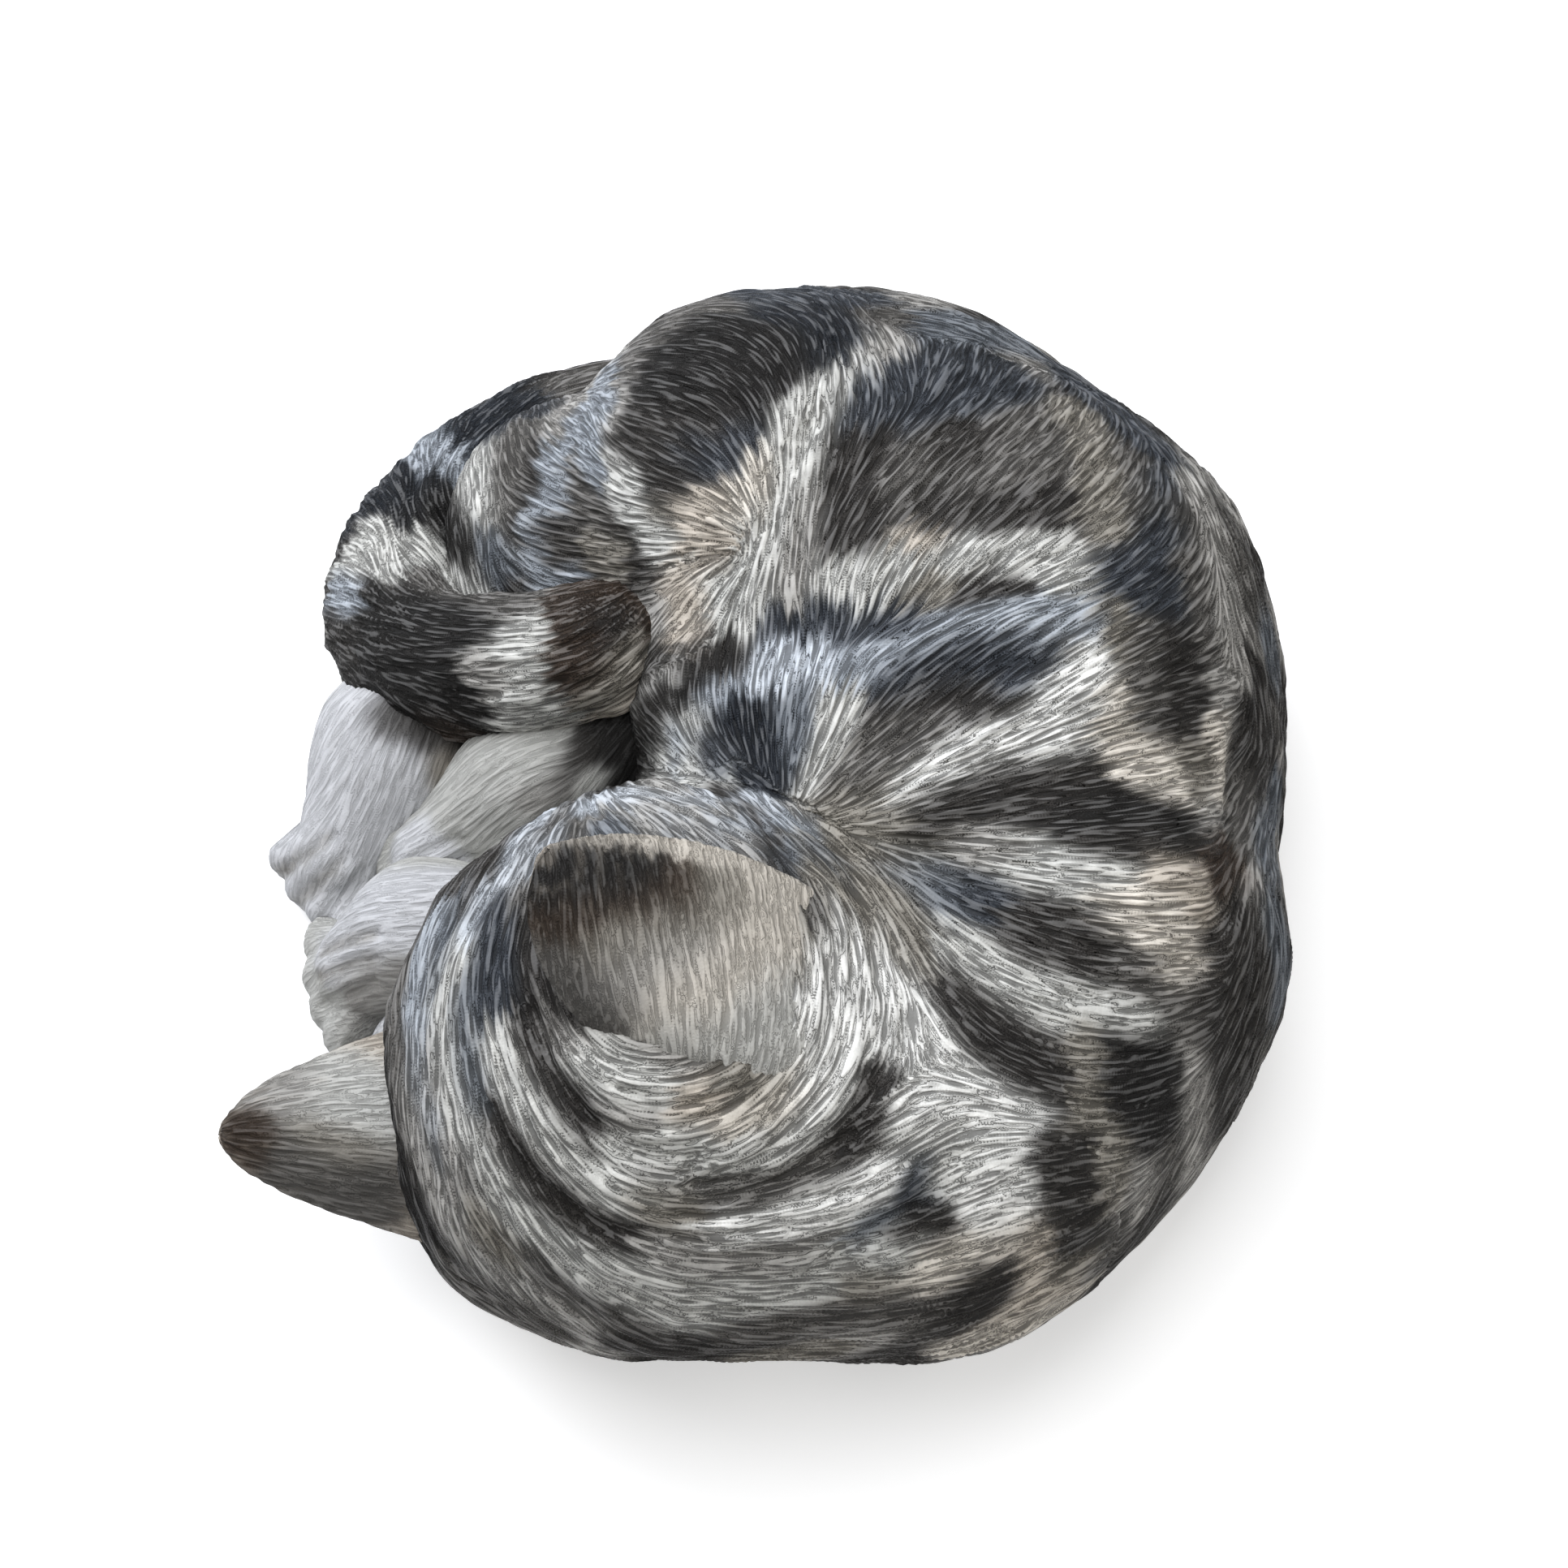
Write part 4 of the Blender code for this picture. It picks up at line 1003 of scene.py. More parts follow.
def crossing(field, origin, rays, reach, steps=MARCH_STEPS, nearest=0.0):
    """How far along each ray the field first changes sign, from its side at the nearest place looked at."""
    ladder = np.linspace(nearest, reach, steps, dtype=np.float32)
    found = np.empty(len(rays), np.float32)
    for part in parts(len(rays), 4096):
        ways = rays[part]
        values = field(origin + ways[:, None, :] * ladder[None, :, None])
        outside = values > 0.0
        changed = outside != outside[:, :1]
        index = np.where(changed.any(1), changed.argmax(1), np.abs(values).argmin(1))
        index = np.clip(index, 1, steps - 1)
        near, far = ladder[index - 1], ladder[index]
        start = outside[:, 0]
        for _ in range(HALVINGS):
            middle = (near + far) / 2.0
            past = (field(origin + ways * middle[:, None]) > 0.0) != start
            far = np.where(past, middle, far)
            near = np.where(past, near, middle)
        found[part] = (near + far) / 2.0
    return found


def resampled(points, spacing):
    """Points at about this spacing along a polyline, with the directions of the line at each."""
    points = np.asarray(points, float)
    lengths = np.concatenate(((0.0,), np.cumsum(np.linalg.norm(np.diff(points, axis=0), axis=1))))
    count = max(int(lengths[-1] / spacing), 1) + 1
    at = np.linspace(0.0, lengths[-1], count)
    line = np.stack([np.interp(at, lengths, points[:, i]) for i in range(3)], -1)
    return line, unit(np.gradient(line, axis=0)) if count > 1 else np.zeros_like(line)


def camera_rays(pixels):
    """The eye, and the direction from it through each photo pixel."""
    up = np.array((0.0, math.sin(CAMERA_ELEVATION), math.cos(CAMERA_ELEVATION)))
    offsets = (np.asarray(pixels, float) - PHOTO_SIDE / 2.0) / PHOTO_FOCAL
    rays = offsets[:, :1] * np.array((1.0, 0.0, 0.0)) - offsets[:, 1:] * up - CAMERA_BACK
    return CAMERA_PLACE.astype(np.float32), unit(rays)


def seen(pixels, field):
    """Where the camera's rays through these pixels first meet the surface."""
    eye, rays = camera_rays(pixels)
    nearest = CAMERA_DISTANCE - REACH
    far = crossing(field, eye, rays, CAMERA_DISTANCE + REACH, CAMERA_MARCH_STEPS, nearest)
    return settle(eye + rays * far[:, None], field)


def strokes_seen(strokes, field):
    """Each stroke of photo pixels as a polyline on the surface."""
    counts = np.cumsum([len(stroke) for stroke in strokes])[:-1]
    return np.split(seen([pixel for stroke in strokes for pixel in stroke], field), counts)


def gaps_between(points, places):
    """Squares of the distances from each point to each place."""
    square = (points * points).sum(-1)[:, None] + (places * places).sum(-1) - 2.0 * points @ places.T
    return np.maximum(square, 0.0)


def pushed(spread, way):
    """The way turned towards the main line of a spread, given as its xx, yy, zz, xy, yz and zx."""
    x, y, z = way[:, 0], way[:, 1], way[:, 2]
    xx, yy, zz, xy, yz, zx = spread.T
    return unit(np.stack((
        xx * x + xy * y + zx * z, xy * x + yy * y + yz * z, zx * x + yz * y + zz * z
    ), -1))


class Coat:
    """Run of the fur and paint, held on a lattice round a surface and read between its points.

    The run is held as a spread, in which a stroke and its reverse count alike, and as one plain direction.
    """

    def __init__(self, field, corner, far_corner, cell, flow, marks, background):
        self.corner = np.asarray(corner, np.float32)
        self.cell = np.float32(cell)
        self.sides = np.ceil((np.asarray(far_corner) - self.corner) / cell).astype(int) + 1
        lattice = np.stack(np.meshgrid(*[np.arange(n) for n in self.sides], indexing="ij"), -1)
        places = (self.corner + lattice.reshape(-1, 3) * self.cell).astype(np.float32)
        near = np.abs(field(places)) < SHELL_CELLS * cell + SHELL_MARGIN
        shell = places[near]
        normals = unit(steepest(field, shell))
        self.spread, self.way, self.tone = (np.zeros((len(places), n), np.float32) for n in (6, 3, 3))
        self.spread[near], self.way[near] = fur_run(shell, normals, flow, field)
        self.tone[near] = paint_at(shell, normals, marks, background)

    def read(self, table, points):
        """A table of the lattice at these points, by trilinear mixing."""
        at = (points - self.corner) / self.cell
        base = np.clip(np.floor(at), 0.0, self.sides - 2.0).astype(np.float32)
        part = at - base
        rest = 1.0 - part
        base = base.astype(np.int32)
        row = (base[:, 0] * self.sides[1] + base[:, 1]) * self.sides[2] + base[:, 2]
        total = np.zeros((len(points), table.shape[1]), np.float32)
        for x in (0, 1):
            for y in (0, 1):
                side = (part if x else rest)[:, 0] * (part if y else rest)[:, 1]
                for z in (0, 1):
                    weight = side * (part if z else rest)[:, 2]
                    total += table[row + ((x * self.sides[1] + y) * self.sides[2] + z)] * weight[:, None]
        return total

    def flow(self, points):
        """Which way the fur runs."""
        spread = self.read(self.spread, points)
        way = unit(self.read(self.way, points))
        for _ in range(3):
            way = pushed(spread, way)
        return way

    def onward(self, points, way):
        """Which way the fur runs, for someone who comes along it this way."""
        return pushed(self.read(self.spread, points), way)

    def paint(self, points):
        """Square roots of the paint's linear red, green and blue."""
        return self.read(self.tone, points)


def coat_round(points, lattice, field, flow, marks, background):
    """The coat of one piece, on a lattice that goes past its points by a margin."""
    margin, cell = lattice
    return Coat(field, points.min(0) - margin, points.max(0) + margin, cell, flow, marks, background)


def fur_run(points, normals, strokes, field):
    """Spread and direction of the strokes, weighted by nearness and a like facing, flat on the surface."""
    samples = [resampled(stroke, FLOW_SPACING) for stroke in strokes]
    places, ways = (np.concatenate(part).astype(np.float32) for part in zip(*samples))
    facing = unit(steepest(field, places))
    x, y, z = ways.T
    rows = np.stack((x * x, y * y, z * z, x * y, y * z, z * x, x, y, z), -1)
    run = np.zeros((len(points), 9), np.float32)
    for part in parts(len(points), 6000):
        gaps = gaps_between(points[part], places)
        alike = np.clip(normals[part] @ facing.T, FLOW_FACING, None)
        run[part] = (alike / (gaps + FLOW_SOFTENING) ** FLOW_POWER) @ rows
    spread = run[:, (0, 3, 5, 3, 1, 4, 5, 4, 2)].reshape(-1, 3, 3)
    flat = np.eye(3, dtype=np.float32) - normals[:, :, None] * normals[:, None]
    spread = flat @ spread @ flat
    spread /= np.maximum(np.trace(spread, axis1=1, axis2=2), 1e-12)[:, None, None]
    way = unit((flat @ run[:, 6:, None])[..., 0])
    return spread.reshape(-1, 9)[:, (0, 4, 8, 1, 5, 2)], way


def paint_at(points, normals, marks, background):
    """Paints of the marks, weighted by a bell curve of the distance over the brush's radius."""
    places, tones, radii, facing = marks
    total = background(points) * BACKGROUND_BRUSH
    weight = np.full((len(points), 1), BACKGROUND_BRUSH, np.float32)
    for part in parts(len(points), 4000):
        gaps = gaps_between(points[part], places)
        alike = np.clip(normals[part] @ facing.T + BRUSH_FACING, 0.0, 1.0)
        share = np.exp(-BRUSH_STEEPNESS * gaps / (radii * radii)) * alike
        total[part] += share @ tones
        weight[part, 0] += share.sum(-1)
    return total / weight


def brushed(marks, field, places=None):
    """Marks as sample points with square-root tones, radii and facings. Their places are seen or given."""
    if places is None:
        places = strokes_seen([mark[2] for mark in marks], field)
    rows = []
    for (paint, radius, _), line in zip(marks, places):
        spots = resampled(line, radius * 0.6)[0]
        tone = np.sqrt(linear(PAINTS[paint]))
        rows.append((spots, np.tile(tone, (len(spots), 1)), np.full(len(spots), radius)))
    spots, tones, radii = (np.concatenate(part).astype(np.float32) for part in zip(*rows))
    return spots, tones, radii, unit(steepest(field, spots))


def joined(*groups):
    """Several groups of marks as one."""
    return tuple(np.concatenate(part) for part in zip(*groups))


def plain(paint):
    """A background of one paint."""
    tone = np.sqrt(linear(PAINTS[paint])).astype(np.float32)
    return lambda points: np.tile(tone, (len(points), 1))


def tabby(points):
    """Bands across the run of the trunk, by the angle round its middle."""
    around = np.arctan2(points[:, 1] - BAND_MIDDLE[1], points[:, 0] - BAND_MIDDLE[0])
    turns = around * BANDS + np.sin(points[:, 2] * BAND_RISE[0]) * BAND_RISE[1]
    wave = np.sin(turns + np.sin(around * BAND_SWAY[0]) * BAND_SWAY[1])
    share = np.clip(BAND_SHARE[0] + BAND_SHARE[1] * wave, 0.0, 1.0)[:, None]
    dark, light = (np.sqrt(linear(PAINTS[name])) for name in ("charcoal", "ash"))
    return (dark * share + light * (1.0 - share)).astype(np.float32)


NOISE = np.random.default_rng(7).uniform(-1.0, 1.0, (NOISE_SIDE,) * 3).astype(np.float32).ravel()
NOISE_TURN = np.linalg.qr(np.random.default_rng(3).normal(size=(3, 3)))[0].astype(np.float32)


def noise(points):
    """Smooth noise between minus one and one, with a lattice of side one, turned off the axes."""
    at = points @ NOISE_TURN
    base = np.floor(at)
    part = at - base
    part = part * part * (3.0 - 2.0 * part)
    base = base.astype(np.int32) & (NOISE_SIDE - 1)
    after = (base + 1) & (NOISE_SIDE - 1)
    rows = (base[:, 0] * NOISE_SIDE, after[:, 0] * NOISE_SIDE)
    columns = (base[:, 1], after[:, 1])
    heights = (base[:, 2], after[:, 2])
    x, y, z = part[:, 0], part[:, 1], part[:, 2]
    sheets = []
    for row in rows:
        lines = []
        for column in columns:
            start = (row + column) * NOISE_SIDE
            low, high = NOISE[start + heights[0]], NOISE[start + heights[1]]
            lines.append(low + (high - low) * z)
        sheets.append(lines[0] + (lines[1] - lines[0]) * y)
    return sheets[0] + (sheets[1] - sheets[0]) * x


def carve(points, coat, pitch, length, lock_pitch):
    """Noise smeared along the fur: fine strands and broad locks, and which way the fur runs."""
    strands = np.empty(len(points), np.float32)
    locks = np.empty(len(points), np.float32)
    runs = np.empty_like(points)
    count = max(int(length / 2.0 / pitch), 2)
    for part in parts(len(points), 40000):
        start = points[part]
        run = coat.flow(start)
        fine = noise(start / pitch)
        broad = noise(start / lock_pitch + LOCK_SHIFT)
        for side in (1.0, -1.0):
            way = run * side
            at = start + way * pitch
            for k in range(1, count + 1):
                bell = math.cos(0.5 * math.pi * k / (count + 1)) ** 2
                fine += noise(at / pitch) * bell
                if k % 2 == 0:
                    broad += noise(at / lock_pitch + LOCK_SHIFT) * bell * LOCK_WEIGHT
                way = coat.onward(at, way)
                at = at + way * pitch
        strands[part], locks[part], runs[part] = fine, broad, run
    strands /= strands.std()
    locks /= locks.std()
    return strands, locks, runs


def relief_at(points, relief, places):
    """Sum of bell-shaped grooves and ridges about the given lines."""
    height = np.zeros(len(points), np.float32)
    for (rise, width, _), line in zip(relief, places):
        spots = resampled(line, width * 0.7)[0].astype(np.float32)
        low, high = spots.min(0) - 3.0 * width, spots.max(0) + 3.0 * width
        near = np.nonzero(((points > low) & (points < high)).all(1))[0]
        for part in parts(len(near), 30000):
            index = near[part]
            gap = gaps_between(points[index], spots).min(1)
            height[index] += rise * np.exp(-gap / (width * width))
    return height


def normals_of(grid):
    """Unit normals of a grid of points, square to its two runs."""
    return unit(np.cross(np.gradient(grid, axis=0), np.gradient(grid, axis=1)))


def smooth_radius(field, origin, rays, coarse):
    """Distances to the surface along a grid of rays, all refined from a coarse grid that is marched."""
    count_u, count_v = rays.shape[:2]
    pick_u = np.unique(np.append(np.arange(0, count_u, coarse), count_u - 1))
    pick_v = np.unique(np.append(np.arange(0, count_v, coarse), count_v - 1))
    rough = crossing(field, origin, rays[np.ix_(pick_u, pick_v)].reshape(-1, 3), REACH)
    rough = rough.reshape(len(pick_u), len(pick_v))
    lines = np.stack([np.interp(np.arange(count_u), pick_u, row) for row in rough.T], 1)
    radius = np.stack([np.interp(np.arange(count_v), pick_v, line) for line in lines])
    radius = radius.reshape(-1).astype(np.float32)
    return refine(field, origin, rays.reshape(-1, 3), radius).reshape(count_u, count_v)


def refine(field, origin, rays, radius):
    """Newton's steps along each ray, with a march for the few rays that they don't settle."""
    value = field(origin + rays * radius[:, None])
    for _ in range(REFINE_STEPS):
        slope = (field(origin + rays * (radius + REFINE_GAP)[:, None]) - value) / REFINE_GAP
        stride = value / np.maximum(slope, REFINE_SLOPE)
        radius = radius - np.clip(stride, -REFINE_STRIDE, REFINE_STRIDE)
        value = field(origin + rays * radius[:, None])
    lost = np.nonzero(np.abs(value) > REFINE_MISS)[0]
    if len(lost):
        radius[lost] = crossing(field, origin, rays[lost], REACH)
    return radius


def frame_towards(way):
    """Three unit rows, square to each other, the last along this way."""
    out = unit(way)
    right = unit(np.cross((0.0, 1.0, 0.0), out))
    return np.stack((right, np.cross(out, right), out))


CUBE_FACES = {
    "top": ((1, 0, 0), (0, 1, 0), (0, 0, 1)),
    "bottom": ((0, 1, 0), (1, 0, 0), (0, 0, -1)),
    "right": ((0, 1, 0), (0, 0, 1), (1, 0, 0)),
    "left": ((0, 0, 1), (0, 1, 0), (-1, 0, 0)),
    "back": ((0, 0, 1), (1, 0, 0), (0, 1, 0)),
    "front": ((1, 0, 0), (0, 0, 1), (0, -1, 0)),
}


def face_rays(face, across, along, stretch):
    """Rays through a face of a cube, evened by tangents and stretched."""
    u, v = np.meshgrid(np.tan(across * math.pi / 4.0), np.tan(along * math.pi / 4.0), indexing="ij")
    right, up, out = (np.array(axis, float) for axis in CUBE_FACES[face])
    return unit(unit(u[..., None] * right + v[..., None] * up + out) * stretch)


def grid_quads(rows, columns, start=0):
    """Corners of the squares of a grid of this many points."""
    first = (np.arange(rows - 1)[:, None] * columns + np.arange(columns - 1)[None]).ravel() + start
    return np.stack((first, first + columns, first + columns + 1, first + 1), -1)


def closed_tube(points, rows, layers):
    """Rings joined one after another, with a point in the middle of each end ring and a fan to it."""
    index = np.arange(len(points)).reshape(rows, -1)
    after = np.roll(index, -1, 1)
    quads = np.stack((index[:-1], after[:-1], after[1:], index[1:]), -1).reshape(-1, 4)
    fans = np.concatenate((
        np.stack((after[0], index[0], np.full_like(index[0], len(points))), -1),
        np.stack((index[-1], after[-1], np.full_like(index[0], len(points) + 1)), -1),
    ))
    ends = np.stack((points[index[0]].mean(0), points[index[-1]].mean(0)))
    layers = {key: np.concatenate((value, value[[0, -1]])) for key, value in layers.items()}
    return np.concatenate((points, ends)), quads, fans, layers


def closed_tile(points, shape, middle, layers):
    """A grid closed into a shell by a fan from its border to the middle of the lump."""
    index = np.arange(shape[0] * shape[1]).reshape(shape)
    ring = np.concatenate((index[0, :-1], index[:-1, -1], index[-1, :0:-1], index[:0:-1, 0]))
    fan = np.stack((np.roll(ring, -1), ring, np.full_like(ring, len(points))), -1)
    layers = {key: np.concatenate((value, value[:1])) for key, value in layers.items()}
    return np.concatenate((points, middle[None])), grid_quads(*shape), fan, layers


def signed_volume(points, quads, triangles):
    """Six times the volume inside the faces, above zero where they point out."""
    faces = np.concatenate((quads[:, (0, 1, 2)], quads[:, (0, 2, 3)], triangles))
    a, b, c = (points[faces[:, i]].astype(float) for i in range(3))
    return (a * np.cross(b, c)).sum()


# Type of each layer of a mesh, and the name its values go by
LAYERS = {
    "paint": ("FLOAT_COLOR", "color"),
    "run": ("FLOAT_VECTOR", "vector"),
    "strand": ("FLOAT", "value"),
}


def make_object(name, points, quads, triangles, layers):
    """A smooth-shaded object from points in millimetres, its faces turned to point out."""
    triangles = np.asarray(triangles, int).reshape(-1, 3)
    if signed_volume(points - points.mean(0), quads, triangles) < 0.0:
        quads, triangles = quads[:, ::-1], triangles[:, ::-1]
    mesh = bpy.data.meshes.new(name)
    mesh.vertices.add(len(points))
    mesh.vertices.foreach_set("co", (points * METRES).astype(np.float32).ravel())
    corners = np.concatenate((quads.ravel(), triangles.ravel())).astype(np.int32)
    starts = np.concatenate((np.arange(len(quads)) * 4, len(quads) * 4 + np.arange(len(triangles)) * 3))
    mesh.loops.add(len(corners))
    mesh.loops.foreach_set("vertex_index", corners)
    mesh.polygons.add(len(starts))
    mesh.polygons.foreach_set("loop_start", starts.astype(np.int32))
    mesh.update(calc_edges=True)
    mesh.validate()
    mesh.shade_smooth()
    for layer, values in layers.items():
        kind, key = LAYERS[layer]
        attributes = mesh.color_attributes if layer == "paint" else mesh.attributes
        attribute = attributes.new(layer, kind, "POINT")
        attribute.data.foreach_set(key, values.astype(np.float32).ravel())
    obj = bpy.data.objects.new(name, mesh)
    bpy.context.scene.collection.objects.link(obj)
    return obj


def dressed(points, normals, coat, fur, relief=(), places=(), lines=None, contrast=1.0):
    """Carves the fur into a surface. Returns the carved points and the layers that the paint reads.

    The paint's fourth channel is the contrast: how far the wash and painted shade in the clefts, and the
    dry brushing and painted highlight on the crests, show.
    """
    pitch, length, depth, lock_pitch, lock_depth = fur
    strands, locks, run = carve(points, coat, pitch, length, lock_pitch)
    offset = np.tanh(strands * DRAG_BY_STRAND + locks * DRAG_BY_LOCK) * length * DRAG_SHARE * contrast
    paint = coat.paint(points + run * offset[:, None])
    if lines is not None:
        paint = paint_over(points, lines, paint)
    deepened = np.where(strands < 0.0, strands * GROOVE_DEEPENING, strands)
    height = np.clip(deepened, *STRAND_RANGE) * depth
    height = height + np.clip(locks, -LOCK_RANGE, LOCK_RANGE) * lock_depth
    height = height + relief_at(points, relief, places)
    carved = points + normals * height[:, None]
    rows = np.concatenate((paint * paint, np.full((len(points), 1), contrast)), 1)
    return carved, {"paint": rows, "strand": strands, "run": run}


def paint_over(points, lines, paint):
    """Fine painted lines laid over the paint of the coat."""
    places, tones, radii, _ = lines
    for part in parts(len(points), 20000):
        gaps = gaps_between(points[part], places)
        share = np.exp(-gaps / (radii * radii))
        cover = np.clip(share.max(-1, keepdims=True) * 1.4, 0.0, 1.0)
        tone = (share @ tones) / np.maximum(share.sum(-1, keepdims=True), 1e-6)
        paint[part] = paint[part] * (1.0 - cover) + tone * cover
    return paint


def finish_piece(obj, slot, *nodes):
    """Gives a fur piece its material and body, and hides the solids that it stands for. Its slot is not
    used.
    """
    obj.data.materials.append(bpy.data.materials.get(FUR_MATERIAL) or painted_fur())
    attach(obj, "root")
    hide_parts(*nodes)


def ball_grid(count):
    """A closed cube-sphere: its directions, with the faces' shared borders joined, and its squares."""
    steps = np.linspace(-1.0, 1.0, count + 1)
    rays = []
    quads = []
    for face in CUBE_FACES:
        rays.append(face_rays(face, steps, steps, 1.0).reshape(-1, 3))
        quads.append(grid_quads(count + 1, count + 1, len(quads) * (count + 1) ** 2))
    rays = np.concatenate(rays)
    _, kept, index = np.unique(np.round(rays, 5), axis=0, return_index=True, return_inverse=True)
    return rays[kept], index.reshape(-1)[np.concatenate(quads)]


def ball_skin(field, middle, count, lean=0.0, front=None):
    """A closed skin round a lump: points, normals and squares, denser towards the front by the lean."""
    rays, quads = ball_grid(cells(count))
    axes = FLAT_AXES if front is None else frame_towards(front)
    rays = unit(rays + np.array((0.0, 0.0, lean))) @ np.asarray(axes)
    middle = np.asarray(middle, np.float32)
    radius = crossing(field, middle, rays, REACH, BALL_MARCH_STEPS)
    points = middle + rays * refine(field, middle, rays, radius)[:, None]
    return points, unit(steepest(field, points, 0.6)), quads


class FigurineSizes(bpy.types.PropertyGroup):
    """Sizes of the carving that a user would change."""

    strand_pitch: FloatProperty(
        name="Strand pitch", description="Width of a carved strand", default=0.00062, unit="LENGTH",
    )
    strand_length: FloatProperty(
        name="Strand length", description="Length of a carved strand", default=0.014, unit="LENGTH"
    )
    strand_depth: FloatProperty(
        name="Strand depth", description="Height of the strands, as a standard deviation",
        default=0.00022, unit="LENGTH",
    )
    lock_pitch: FloatProperty(
        name="Lock pitch", description="Width of the locks that strands lie in",
        default=0.0034, unit="LENGTH",
    )
    lock_depth: FloatProperty(
        name="Lock depth", description="Height of the locks, as a standard deviation",
        default=0.0003, unit="LENGTH",
    )
    detail: FloatProperty(
        name="Detail", description="Share of the full number of faces along each side",
        default=1.0, min=0.2, max=1.0,
    )


class FigurineColours(bpy.types.PropertyGroup):
    """Colours beside the tabby's own paints."""

    resin: FloatVectorProperty(
        name="Bare resin", description="Cast resin of the base", subtype="COLOR", default=linear("#a59d90")
    )
    felt: FloatVectorProperty(
        name="Felt", description="Sheet under the base", subtype="COLOR", default=linear("#3f4043")
    )
    steel: FloatVectorProperty(
        name="Steel", description="Dowels in the neck", subtype="COLOR", default=linear("#b4b5b7")
    )
    floor: FloatVectorProperty(
        name="Floor", description="Floor and backdrop", subtype="COLOR", default=linear("#f4f4f4")
    )


def settings():
    """The two groups of settings, as the scene holds them."""
    return bpy.context.scene.figurine_sizes, bpy.context.scene.figurine_colours


def fur_of(piece):
    """The panel's sizes of the carving in millimetres, each times the piece's share."""
    sizes = settings()[0]
    pitch, length, depth, lock = FUR[piece]
    return (
        sizes.strand_pitch / METRES * pitch,
        sizes.strand_length / METRES * length,
        sizes.strand_depth / METRES * depth,
        sizes.lock_pitch / METRES * pitch,
        sizes.lock_depth / METRES * lock,
    )


def cells(count):
    """A number of grid cells, cut down while trying things out."""
    share = settings()[0].detail * 1.0
    return max(int(count * share) // 2 * 2, 8)


def node(tree, kind, inputs=None, **values):
    """Adds a node with its settings and socket values. An input is a socket or node to link, or a value."""
    made = tree.nodes.new(kind)
    for name, value in values.items():
        if name in made.bl_rna.properties:
            setattr(made, name, value)
    for name, value in values.items():
        if name not in made.bl_rna.properties:
            made.inputs[name.replace("_", " ")].default_value = value
    for socket, source in (inputs or {}).items():
        if isinstance(source, bpy.types.Node):
            source = source.outputs[0]
        if isinstance(source, bpy.types.NodeSocket):
            tree.links.new(source, made.inputs[socket])
        else:
            made.inputs[socket].default_value = source
    return made


def span(name):
    """Settings of a range of the materials, by name."""
    return dict(zip(("From_Min", "From_Max", "To_Min", "To_Max"), RANGES[name]))


def new_material(name):
    """An empty node material with its output, and the tree to fill."""
    material = bpy.data.materials.new(name)
    material.use_nodes = True
    tree = material.node_tree
    tree.nodes.clear()
    return material, tree


def hair(tree, place, run):
    """Fine hairs: noise averaged along the run of the fur with cosine-bell weights, about -1 to 1."""
    taps = range(-HAIR_TAPS, HAIR_TAPS + 1)
    bells = [math.cos(0.5 * math.pi * k / (HAIR_TAPS + 1)) ** 2 for k in taps]
    total = 0.0
    for k, bell in zip(taps, bells):
        shift = (HAIR_STEP * k,) * 3
        tap = node(tree, "ShaderNodeVectorMath", {0: run, 1: shift, 2: place}, operation="MULTIPLY_ADD")
        cloud = node(tree, "ShaderNodeTexNoise", {"Vector": tap}, Scale=HAIR_SCALE, Detail=0.0)
        total = node(
            tree, "ShaderNodeMath", {0: cloud, 1: bell / sum(bells), 2: total}, operation="MULTIPLY_ADD"
        )
    return node(tree, "ShaderNodeMapRange", {"Value": total}, clamp=False, **span("hair"))


